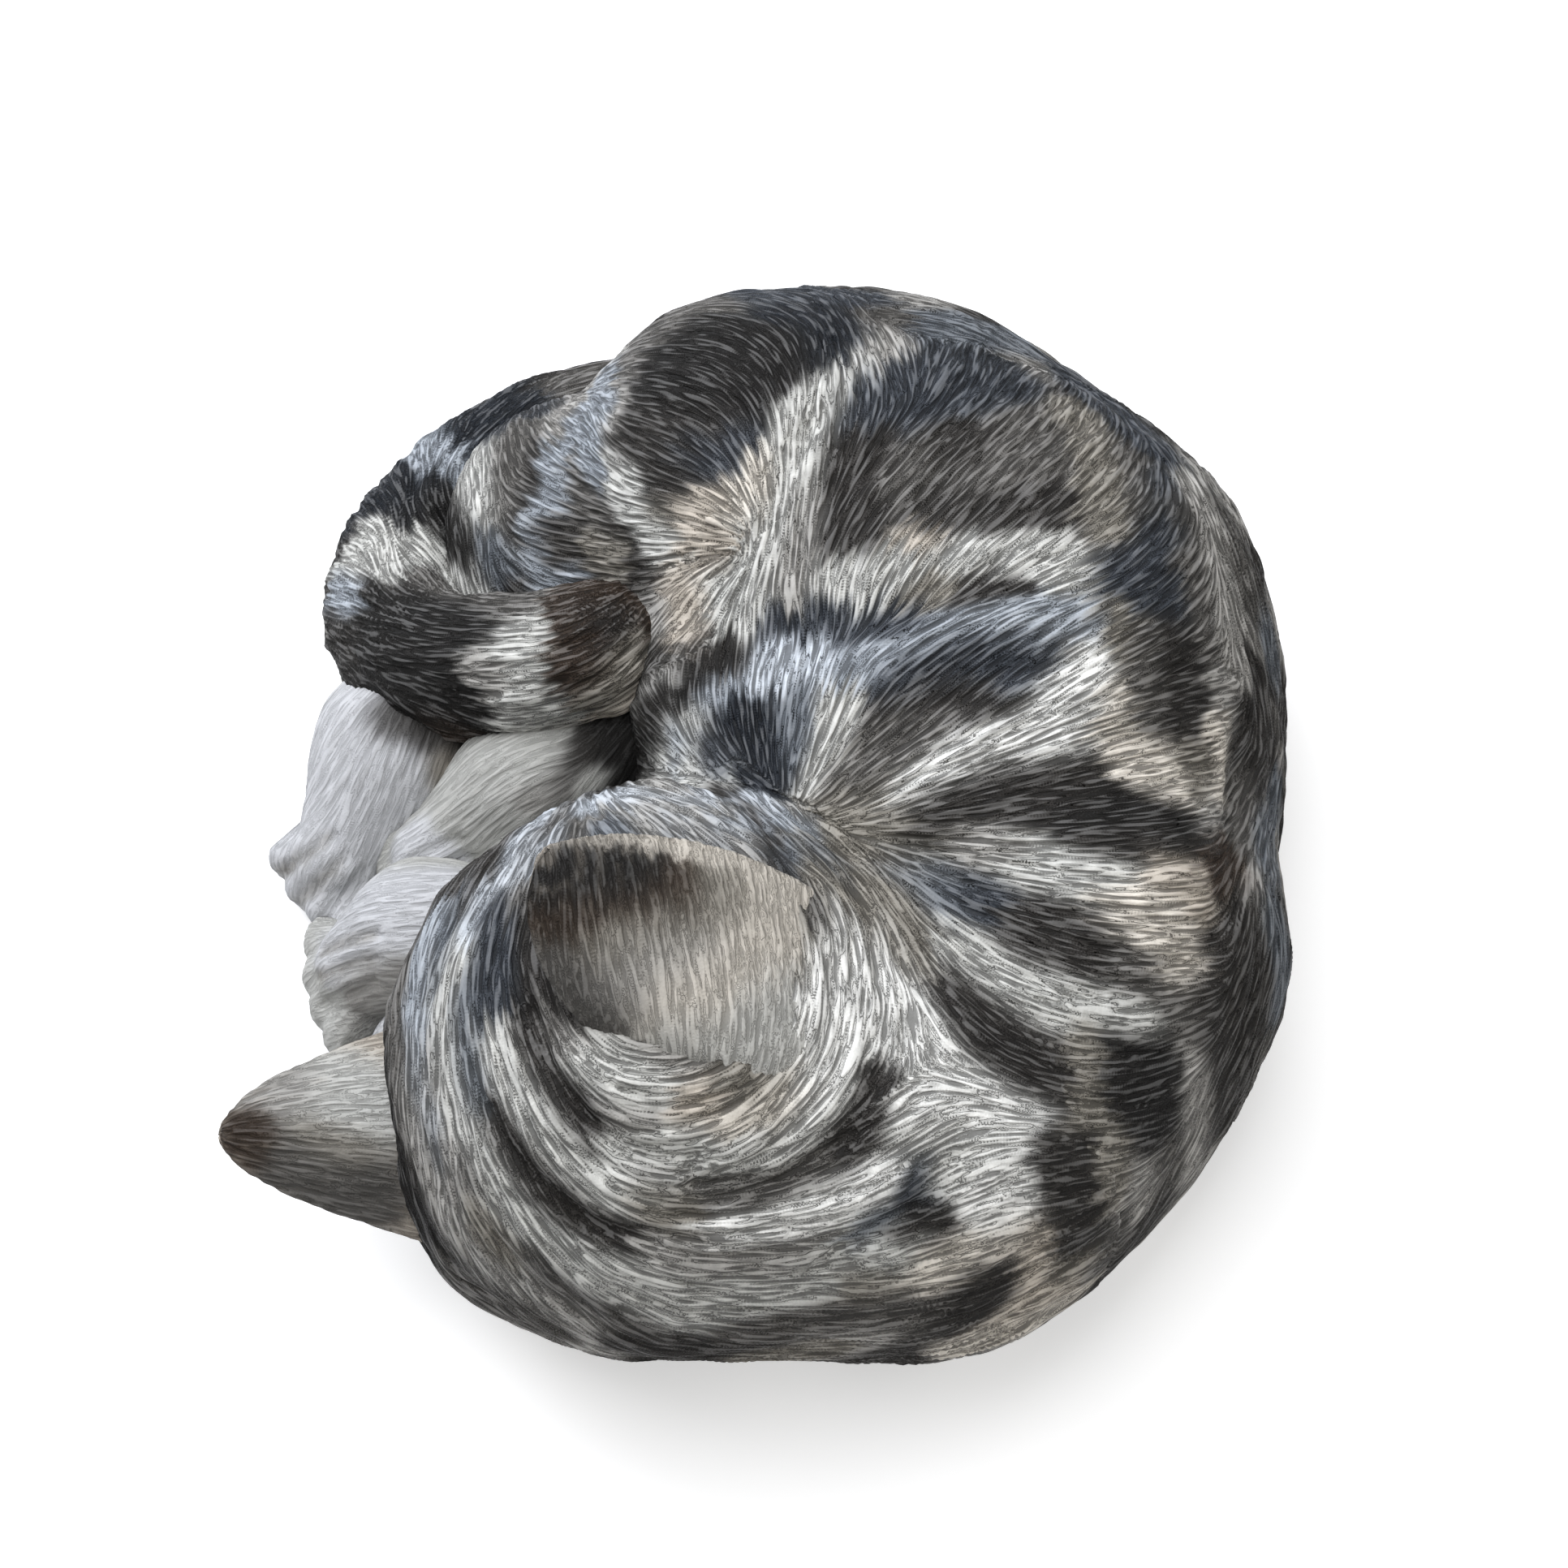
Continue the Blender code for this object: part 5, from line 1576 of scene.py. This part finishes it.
def painted_fur():
    """Acrylic paint on carved cast resin, under a dull varnish.

    A dark wash and painted shade lie in the clefts between strands, and dry brushing and a painted
    highlight lighten their crests, so each strand shows. The paint's alpha is how far both show: tone times
    (clefts times crests times blotches less one, times alpha, plus one), plus the crests' dry brushing and
    painted highlight times alpha. The varnish gives a faint uneven sheen.
    """
    material, tree = new_material(FUR_MATERIAL)
    coat = node(tree, "ShaderNodeAttribute", attribute_name="paint")
    strand = node(tree, "ShaderNodeAttribute", attribute_name="strand").outputs["Fac"]
    run = node(tree, "ShaderNodeAttribute", attribute_name="run").outputs["Vector"]
    place = node(tree, "ShaderNodeTexCoord").outputs["Object"]
    speck = node(tree, "ShaderNodeTexNoise", {"Vector": place}, Scale=SPECK_SCALE, Detail=1.0)
    blotch = node(tree, "ShaderNodeTexNoise", {"Vector": place}, Scale=BLOTCH_SCALE, Detail=2.0)

    contrast = coat.outputs["Alpha"]
    fine = hair(tree, place, run)
    carving = node(tree, "ShaderNodeMath", {0: strand, 1: STRAND_SHARE, 2: fine}, operation="MULTIPLY_ADD")
    gap = node(tree, "ShaderNodeMath", {0: carving}, operation="ABSOLUTE")
    # Clefts get a dark wash and painted shade, and crests get dry brushing and a painted highlight
    sources = {"crack": gap, "groove": carving, "crest": carving, "dry_brush_and_highlight": carving}
    crack, groove, crest, dry_brush_and_highlight = (
        node(tree, "ShaderNodeMapRange", {"Value": source}, interpolation_type="SMOOTHSTEP", **span(name))
        for name, source in sources.items()
    )
    patch = node(tree, "ShaderNodeMapRange", {"Value": blotch}, **span("blotch"))
    gloss = node(tree, "ShaderNodeMapRange", {"Value": speck}, **span("gloss"))

    cleft = node(tree, "ShaderNodeMath", {0: groove, 1: crack}, operation="MULTIPLY")
    shade = node(tree, "ShaderNodeMath", {0: cleft, 1: crest}, operation="MULTIPLY")
    shade = node(tree, "ShaderNodeMath", {0: shade, 1: patch, 2: -1.0}, operation="MULTIPLY_ADD")
    shade = node(tree, "ShaderNodeMath", {0: shade, 1: contrast, 2: 1.0}, operation="MULTIPLY_ADD")
    # Light added on the crests: dry brushing and a painted highlight
    dry_brush_and_highlight = node(tree, "ShaderNodeMath", {0: dry_brush_and_highlight, 1: contrast}, operation="MULTIPLY")
    tone = node(tree, "ShaderNodeVectorMath", {0: coat.outputs["Color"], 1: shade}, operation="MULTIPLY")
    tone = node(tree, "ShaderNodeVectorMath", {0: tone, 1: dry_brush_and_highlight}, operation="ADD")

    height = node(tree, "ShaderNodeMath", {0: crest, 1: CREST_HEIGHT}, operation="MULTIPLY")
    height = node(tree, "ShaderNodeMath", {0: cleft, 1: CLEFT_HEIGHT, 2: height}, operation="MULTIPLY_ADD")
    specks = node(tree, "ShaderNodeMath", {0: speck, 1: SPECK_HEIGHT}, operation="MULTIPLY")
    height = node(tree, "ShaderNodeMath", {0: height, 1: contrast, 2: specks}, operation="MULTIPLY_ADD")
    bump = node(tree, "ShaderNodeBump", {"Height": height}, Strength=1.0, Distance=BUMP_METRES)
    shader = node(
        tree, "ShaderNodeBsdfPrincipled", {"Base Color": tone, "Roughness": gloss, "Normal": bump},
        IOR=1.5, Specular_IOR_Level=0.12,
    )
    node(tree, "ShaderNodeOutputMaterial", {"Surface": shader})
    return material


def both_sides(rows):
    """Rows whose line lies on the head's left half, and then the same rows mirrored to its right."""
    return [(*row[:2], np.array(row[2]) * (side, 1.0, 1.0)) for side in (1.0, -1.0) for row in rows]


def laid_on_head(rows, field):
    """The rows' lines, given along the head's axes, laid on a surface."""
    return [settle(on_head(line), field) for _, _, line in rows]


COATS = {}


def body_coat():
    """Fur and paint of trunk, haunch and head, from all their strokes and marks."""
    if "body" in COATS:
        return COATS["body"]
    flow = list(strokes_seen(HAUNCH_FLOW + TRUNK_FLOW + HEAD_FLOW, coat_skin))
    flow += [settle(stroke, coat_skin) for stroke in OUTSIDE_FLOW]
    flow += [settle(on_head(stroke), coat_skin) for stroke in FACE_FLOW]
    face = both_sides(FACE_MARKS)
    marks = joined(brushed(COAT_MARKS, coat_skin), brushed(face, coat_skin, laid_on_head(face, coat_skin)))
    COATS["body"] = Coat(coat_skin, *BODY_LATTICE, flow, marks, tabby)
    return COATS["body"]


def face_relief():
    """Grooves and ridges of eyes, nose and mouth, with the lines that they follow."""
    creases = [*both_sides(FACE_CREASES), *NOSE_CREASES]
    return creases, laid_on_head(creases, head_skin)


def face_lines():
    """Painted lines of eyes, mouth and nose."""
    lines = [*both_sides(FACE_LINES), NOSE_LEATHER]
    return brushed(lines, head_skin, laid_on_head(lines, head_skin))


def coat_relief():
    """Creases and swells of the coat, with the lines that they follow."""
    if "relief" not in COATS:
        COATS["relief"] = strokes_seen([row[2] for row in COAT_RELIEF], coat_skin)
    return COAT_RELIEF, COATS["relief"]


class FIGURINE_OT_trunk(bpy.types.Operator):
    """Back, ribs, shoulder, neck and elbow, as tiles that overlap by a cell over one surface"""

    bl_idname = "figurine.trunk"
    bl_label = "Trunk"

    # Face of the cube, its parts across and along that the tile covers, and cells each way
    TILES = {
        "trunk_top_left": ("top", (-1, 0), (-1, 0), 230, 230),
        "trunk_top_right": ("top", (0, 1), (-1, 0), 230, 230),
        "trunk_top_far_left": ("top", (-1, 0), (0, 1), 230, 230),
        "trunk_top_far_right": ("top", (0, 1), (0, 1), 230, 230),
        "trunk_right_side": ("right", (-1, 1), (-1, 1), 460, 190),
        "trunk_back": ("back", (-1, 1), (-1, 1), 140, 460),
        "trunk_front": ("front", (-1, 1), (-1, 1), 460, 140),
        "trunk_inner_side": ("left", (-1, 1), (-1, 1), 40, 120),
        "trunk_underside": ("bottom", (-1, 1), (-1, 1), 40, 40),
    }

    def execute(self, context):
        coat = body_coat()
        relief, places = coat_relief()
        middle = TRUNK_MIDDLE.astype(np.float32)
        for name, (face, across, along, columns, rows) in self.TILES.items():
            columns, rows = cells(columns), cells(rows)
            steps_u = (across[1] - across[0]) / columns
            steps_v = (along[1] - along[0]) / rows
            u = across[0] + steps_u * np.arange(-1, columns + 2)
            v = along[0] + steps_v * np.arange(-1, rows + 2)
            rays = face_rays(face, u, v, TRUNK_STRETCH)
            grid = middle + rays * smooth_radius(trunk_skin, middle, rays, COARSE_STEP)[..., None]
            normals = normals_of(grid)
            if (normals * rays).sum() < 0.0:
                normals = -normals
            normals = normals.reshape(-1, 3)
            points, layers = dressed(grid.reshape(-1, 3), normals, coat, fur_of("trunk"), relief, places)
            lip = np.ones(grid.shape[:2], bool)
            lip[1:-1, 1:-1] = False
            lip = lip.reshape(-1)
            points[lip] -= LIP_SINK * normals[lip]
            obj = make_object(name, *closed_tile(on_floor(points), grid.shape[:2], middle, layers))
            finish_piece(obj, "tabby_paint", "body_casting")
        return {"FINISHED"}


class FIGURINE_OT_haunch(bpy.types.Operator):
    """Thigh, knee and rump, one skin with most of its faces on the seen side"""

    bl_idname = "figurine.haunch"
    bl_label = "Haunch"

    def execute(self, context):
        relief, places = coat_relief()
        points, normals, quads = ball_skin(
            haunch_skin, HAUNCH_MIDDLE, HAUNCH_CELLS, HAUNCH_LEAN, HAUNCH_FRONT
        )
        points, layers = dressed(points, normals, body_coat(), fur_of("haunch"), relief, places)
        obj = make_object("haunch", on_floor(points), quads, (), layers)
        finish_piece(obj, "tabby_paint", "body_casting")
        return {"FINISHED"}


class FIGURINE_OT_head(bpy.types.Operator):
    """Skull, muzzle, cheeks and nape, with the closed eyes, nose and mouth carved in"""

    bl_idname = "figurine.head"
    bl_label = "Head"

    def execute(self, context):
        relief, places = coat_relief()
        face, face_places = face_relief()
        relief, places = [*relief, *face], [*places, *face_places]
        points, normals, quads = ball_skin(head_skin, HEAD_MIDDLE, HEAD_CELLS, HEAD_LEAN, HEAD_FRONT)
        points, layers = dressed(points, normals, body_coat(), fur_of("head"), relief, places, face_lines())
        obj = make_object("head", on_floor(points), quads, (), layers)
        finish_piece(obj, "tabby_paint", "head_casting")
        return {"FINISHED"}


def catmull_rom(knots, at):
    """Points on a smooth curve through the knots, at these places counted in knots."""
    knots = np.asarray(knots, float)
    ends = np.concatenate((2 * knots[:1] - knots[1:2], knots, 2 * knots[-1:] - knots[-2:-1]))
    first = np.minimum(at.astype(int), len(knots) - 2)
    t = (at - first)[:, None]
    before, start, end, after = (ends[first + i] for i in range(4))
    return 0.5 * (
        2 * start
        + (end - before) * t
        + (2 * before - 5 * start + 4 * end - after) * t**2
        + (3 * start - before - 3 * end + after) * t**3
    )


class FIGURINE_OT_tail(bpy.types.Operator):
    """Tail: rings square to its middle line, drawn in over a ball at each end"""

    bl_idname = "figurine.tail"
    bl_label = "Tail"

    def execute(self, context):
        rings, sides, cap = (cells(count) for count in TAIL_CELLS)
        at = np.linspace(0.0, len(TAIL_LINE) - 1.0, rings)
        line = catmull_rom(TAIL_LINE, at)
        radii = np.interp(at, np.arange(len(TAIL_LINE)), TAIL_RADII)
        ahead = unit(np.gradient(line, axis=0))
        round_off = np.linspace(math.radians(88.0), 0.0, cap, endpoint=False)
        centres = np.concatenate((
            line[0] - ahead[0] * (radii[0] * np.sin(round_off))[:, None],
            line,
            line[-1] + ahead[-1] * (radii[-1] * np.sin(round_off[::-1]))[:, None],
        ))
        widths = np.concatenate((radii[0] * np.cos(round_off), radii, radii[-1] * np.cos(round_off[::-1])))
        ways = np.concatenate((np.repeat(ahead[:1], cap, 0), ahead, np.repeat(ahead[-1:], cap, 0)))
        side = unit(np.cross(ways, (0.0, 0.0, 1.0)))
        up = np.cross(side, ways)
        turn = np.linspace(0.0, 2.0 * math.pi, sides, endpoint=False)
        spokes = np.cos(turn)[None, :, None] * side[:, None] + np.sin(turn)[None, :, None] * up[:, None]
        grid = centres[:, None] + widths[:, None, None] * spokes
        points = grid.reshape(-1, 3).astype(np.float32)
        normals = unit(steepest(tail_field, points, 1.0))
        flow = strokes_seen(TAIL_FLOW, tail_field)
        knots = line[::TAIL_STROKE_STEP]
        for height in (-TAIL_STROKE_RISE, TAIL_STROKE_RISE):
            flow.append(settle(knots + (0.0, 0.0, height), tail_field))
        outer = knots + np.cross(ahead, (0.0, 0.0, 1.0))[::TAIL_STROKE_STEP] * -TAIL_STROKE_OUT
        flow.append(settle(outer, tail_field))
        marks = brushed(TAIL_MARKS, tail_field)
        coat = coat_round(grid.reshape(-1, 3), TAIL_LATTICE, tail_field, flow, marks, tabby)
        points, layers = dressed(points, normals, coat, fur_of("tail"))
        obj = make_object("tail_fur", *closed_tube(on_floor(points), len(centres), layers))
        finish_piece(obj, "tail_paint", "tail")
        return {"FINISHED"}


class FIGURINE_OT_feet(bpy.types.Operator):
    """The four feet, each a skin round its leg and toes"""

    bl_idname = "figurine.feet"
    bl_label = "Feet"

    def execute(self, context):
        for name, (line, radii, _) in FEET.items():
            def field(points, name=name):
                return foot_field(points, name)

            points, normals, quads = ball_skin(field, line[1], FOOT_CELLS)
            flow = strokes_seen(FOOT_FLOW[name], field)
            # The hair on the underside runs along the leg
            flow.append(np.array(line, np.float32) + (0.0, 0.0, -radii[1] * 0.7))
            marks = brushed(FOOT_MARKS[name], field)
            coat = coat_round(points, FOOT_LATTICE, field, flow, marks, plain("silver"))
            furrows = FOOT_RELIEF[name]
            places = strokes_seen([row[2] for row in furrows], field) if furrows else ()
            points, layers = dressed(
                points, normals, coat, fur_of("feet"), furrows, places, contrast=FOOT_CONTRAST
            )
            obj = make_object(f"{name}_fur", on_floor(points), quads, (), layers)
            finish_piece(obj, "paw_paint", name)
        return {"FINISHED"}


def ear_sheets(ends, tip, bulge, powers, columns, rows):
    """Back and front of an ear: the curve of its base, drawn in by (1 - t^a)^b on the way t to its tip."""
    near, far, tip, bulge = (np.array(value, float) for value in (*ends, tip, bulge))
    u = np.linspace(0.0, 1.0, columns)
    middle = (near + far) / 2.0
    foot = middle + unit(middle + bulge / 2.0 - tip) * EAR_ROOT_DEPTH
    base = (far - near) * (u - 0.5)[:, None] + bulge * np.sin(math.pi * u)[:, None]
    way = np.sin(np.linspace(0.0, math.radians(89.0), rows))[:, None, None]
    back = foot + (tip - foot) * way + base[None] * (1.0 - way ** powers[0]) ** powers[1]
    inward = unit(np.cross(far - near, tip - middle))
    if inward @ bulge > 0.0:
        inward = -inward
    front = back + inward * EAR_THICKNESS * (1.0 - EAR_TIP_THINNING * way)
    return back, front + (front.mean(1, keepdims=True) - front) * EAR_HOLLOWING


def ear_field(middle):
    """The field of an ear: distance to the nearest point of its middle sheet, less half its thickness."""
    def field(points):
        flat = points.reshape(-1, 3)
        gaps = np.empty(len(flat), np.float32)
        for part in parts(len(flat), 2000):
            gaps[part] = np.sqrt(((flat[part][:, None] - middle[None]) ** 2).sum(-1).min(1))
        return gaps.reshape(points.shape[:-1]) - EAR_THICKNESS / 2.0

    return field


class FIGURINE_OT_ears(bpy.types.Operator):
    """The two ears, each a closed shell of back and front"""

    bl_idname = "figurine.ears"
    bl_label = "Ears"

    def execute(self, context):
        for name, shape in EARS.items():
            columns, rows = (cells(count) for count in EAR_CELLS)
            back, front = ear_sheets(*shape, columns, rows)
            loop = np.concatenate((back, front[:, ::-1]), 1).astype(np.float32)
            sheet = ((back + front) / 2.0).reshape(-1, 3)[::EAR_FIELD_STEP].astype(np.float32)
            field = ear_field(sheet)
            points = loop.reshape(-1, 3)
            wrapped = np.concatenate((loop[:, -1:], loop, loop[:, :1]), 1)
            normals = normals_of(wrapped)[:, 1:-1].reshape(-1, 3)
            if (normals * (points - loop.mean((0, 1)))).sum() < 0.0:
                normals = -normals
            flow = [front[:, i] for i in range(0, columns, EAR_STROKE_STEP)]
            if EAR_FLOW[name]:
                flow = strokes_seen(EAR_FLOW[name], field)
            marks = brushed(EAR_MARKS[name], field)
            coat = coat_round(points, EAR_LATTICE, field, flow, marks, plain("sand"))
            points, layers = dressed(points, normals, coat, fur_of("ears"), contrast=EAR_CONTRAST)
            obj = make_object(f"{name}_fur", *closed_tube(points, rows, layers))
            finish_piece(obj, "ear_paint", name)
        return {"FINISHED"}


def simple_finish(name, colour, roughness, scale, depth, metallic=0.0):
    """A finish of one colour, with fine noise of so many cells a metre in its tone and surface."""
    material, tree = new_material(name)
    place = node(tree, "ShaderNodeTexCoord").outputs["Object"]
    grain = node(tree, "ShaderNodeTexNoise", {"Vector": place}, Scale=scale, Detail=4.0)
    tone = node(tree, "ShaderNodeMapRange", {"Value": grain}, **span("grain"))
    mixed = node(
        tree, "ShaderNodeMix", {6: (*colour, 1.0), 7: tone},
        data_type="RGBA", blend_type="MULTIPLY", Factor=1.0,
    ).outputs[2]
    bump = node(tree, "ShaderNodeBump", {"Height": grain}, Strength=0.5, Distance=depth)
    shader = node(
        tree, "ShaderNodeBsdfPrincipled", {"Base Color": mixed, "Normal": bump},
        Roughness=roughness, Metallic=metallic,
    )
    node(tree, "ShaderNodeOutputMaterial", {"Surface": shader})
    return material


class FIGURINE_OT_underside(bpy.types.Operator):
    """Finishes of the base plate, the felt and the dowels"""

    bl_idname = "figurine.underside"
    bl_label = "Underside"

    def execute(self, context):
        colours = settings()[1]
        # Cast polyester resin as it leaves the mould: satin, and uneven by 3 mm blotches
        resin = simple_finish(
            "bare_cast_polyresin", colours.resin, roughness=0.45, scale=300.0, depth=0.0001
        )
        # Needled wool felt: no sheen, tufts of about 0.6 mm
        felt = simple_finish("needled_wool_felt", colours.felt, roughness=0.95, scale=1800.0, depth=0.0004)
        # Cold-drawn steel rod: bright and almost smooth
        steel = simple_finish(
            "drawn_bright_steel", colours.steel, roughness=0.3, scale=900.0, depth=0.00003, metallic=1.0
        )
        finishes = {
            "base_plate": resin, "felt_sheet": felt, "head_dowel_front": steel, "head_dowel_rear": steel
        }
        for name, material in finishes.items():
            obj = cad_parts[name]
            for slot in obj.material_slots:
                slot.material = material
        return {"FINISHED"}


def look_along(direction):
    """Euler angles that point an object's -Z along a direction."""
    x, y, z = unit(direction)
    tilt = math.acos(max(min(-z, 1.0), -1.0))
    return (tilt, 0.0, math.atan2(-x, y))


def pale_room():
    """Surroundings that light the object softly and look white to the camera and in reflections."""
    world = bpy.data.worlds.new("pale_room")
    world.use_nodes = True
    tree = world.node_tree
    tree.nodes.clear()
    path = node(tree, "ShaderNodeLightPath")
    room = node(tree, "ShaderNodeBackground", Color=(*linear("#f6f7f8"), 1.0), Strength=ROOM_STRENGTH)
    white = node(tree, "ShaderNodeBackground", Color=(1.0, 1.0, 1.0, 1.0), Strength=1.0)
    shown = path.outputs["Is Camera Ray"]
    for other in ("Is Glossy Ray", "Is Transmission Ray"):
        shown = node(tree, "ShaderNodeMath", {0: shown, 1: path.outputs[other]}, operation="MAXIMUM")
    mixed = node(tree, "ShaderNodeMixShader", {0: shown, 1: room, 2: white})
    node(tree, "ShaderNodeOutputWorld", {"Surface": mixed})
    return world


def floor_material(colour):
    """Matt white board. A camera sees it a little lighter, and it keeps the object's shadow."""
    material, tree = new_material("matt_white_board")
    path = node(tree, "ShaderNodeLightPath").outputs["Is Camera Ray"]
    matt = node(tree, "ShaderNodeBsdfDiffuse", Color=(*colour, 1.0))
    glow = node(tree, "ShaderNodeEmission", Color=(1.0, 1.0, 1.0, 1.0), Strength=FLOOR_GLOW)
    both = node(tree, "ShaderNodeAddShader", {0: matt, 1: glow})
    mixed = node(tree, "ShaderNodeMixShader", {0: path, 1: matt, 2: both})
    node(tree, "ShaderNodeOutputMaterial", {"Surface": mixed})
    return material


class FIGURINE_OT_stage(bpy.types.Operator):
    """Floor, soft lamps, pale surroundings and the photo's camera"""

    bl_idname = "figurine.stage"
    bl_label = "Stage"

    # Place in millimetres, side in metres, power in watts and tint of each lamp
    LAMPS = {
        "overhead": ((-160, 120, 700), 0.7, 5.0, "#fbfcff"),
        "window": ((-420, 420, 460), 0.5, 2.2, "#f2f6ff"),
        "room": ((380, -420, 460), 0.6, 0.8, "#fffaf2"),
    }

    def execute(self, context):
        scene = context.scene
        camera_data = bpy.data.cameras.new("photo_camera")
        camera_data.sensor_width = SENSOR_WIDTH
        camera_data.lens = PHOTO_FOCAL / PHOTO_SIDE * SENSOR_WIDTH
        camera = bpy.data.objects.new("photo_camera", camera_data)
        camera.location = CAMERA_PLACE * METRES
        camera.rotation_euler = (math.pi / 2.0 - CAMERA_ELEVATION, 0.0, 0.0)
        scene.collection.objects.link(camera)
        scene.camera = camera
        for name, (place, size, power, tint) in self.LAMPS.items():
            lamp_data = bpy.data.lights.new(name, "AREA")
            lamp_data.size = size
            lamp_data.energy = power
            lamp_data.color = linear(tint)
            lamp = bpy.data.objects.new(name, lamp_data)
            spot = np.array(place, float) * METRES
            lamp.location = spot
            lamp.rotation_euler = look_along(CAMERA_TARGET * METRES - spot)
            scene.collection.objects.link(lamp)
        scene.world = pale_room()
        corners = [(x * FLOOR_HALF, y * FLOOR_HALF, 0.0) for x, y in ((-1, -1), (1, -1), (1, 1), (-1, 1))]
        floor_mesh = bpy.data.meshes.new("floor")
        floor_mesh.from_pydata(corners, [], [(0, 1, 2, 3)])
        floor = bpy.data.objects.new("floor", floor_mesh)
        scene.collection.objects.link(floor)
        floor_mesh.materials.append(floor_material(settings()[1].floor))
        scene.view_settings.view_transform = "Standard"
        return {"FINISHED"}


class FIGURINE_PT_panel(bpy.types.Panel):
    """Lists the figurine's steps in the sidebar"""

    bl_idname = "FIGURINE_PT_panel"
    bl_label = "Sleeping cat figurine"
    bl_space_type = "VIEW_3D"
    bl_region_type = "UI"
    bl_category = "Figurine"

    def draw(self, context):
        for group in settings():
            for name in group.bl_rna.properties.keys():
                if name not in ("rna_type", "name"):
                    self.layout.prop(group, name)
        for operator in OPERATORS:
            self.layout.operator(operator.bl_idname)


OPERATORS = (
    FIGURINE_OT_stage,
    FIGURINE_OT_trunk,
    FIGURINE_OT_haunch,
    FIGURINE_OT_head,
    FIGURINE_OT_tail,
    FIGURINE_OT_feet,
    FIGURINE_OT_ears,
    FIGURINE_OT_underside,
)
CLASSES = (FigurineSizes, FigurineColours, *OPERATORS, FIGURINE_PT_panel)


def register():
    """Registers the classes and hangs the settings on the scene."""
    for item in CLASSES:
        bpy.utils.register_class(item)
    bpy.types.Scene.figurine_sizes = PointerProperty(type=FigurineSizes)
    bpy.types.Scene.figurine_colours = PointerProperty(type=FigurineColours)


def unregister():
    """Takes the settings and the classes away again."""
    del bpy.types.Scene.figurine_sizes
    del bpy.types.Scene.figurine_colours
    for item in reversed(CLASSES):
        bpy.utils.unregister_class(item)


def main():
    """Makes the stage and every piece."""
    register()
    bpy.ops.figurine.stage()
    bpy.ops.figurine.trunk()
    bpy.ops.figurine.haunch()
    bpy.ops.figurine.head()
    bpy.ops.figurine.tail()
    bpy.ops.figurine.feet()
    bpy.ops.figurine.ears()
    bpy.ops.figurine.underside()


if __name__ == "__main__":
    main()
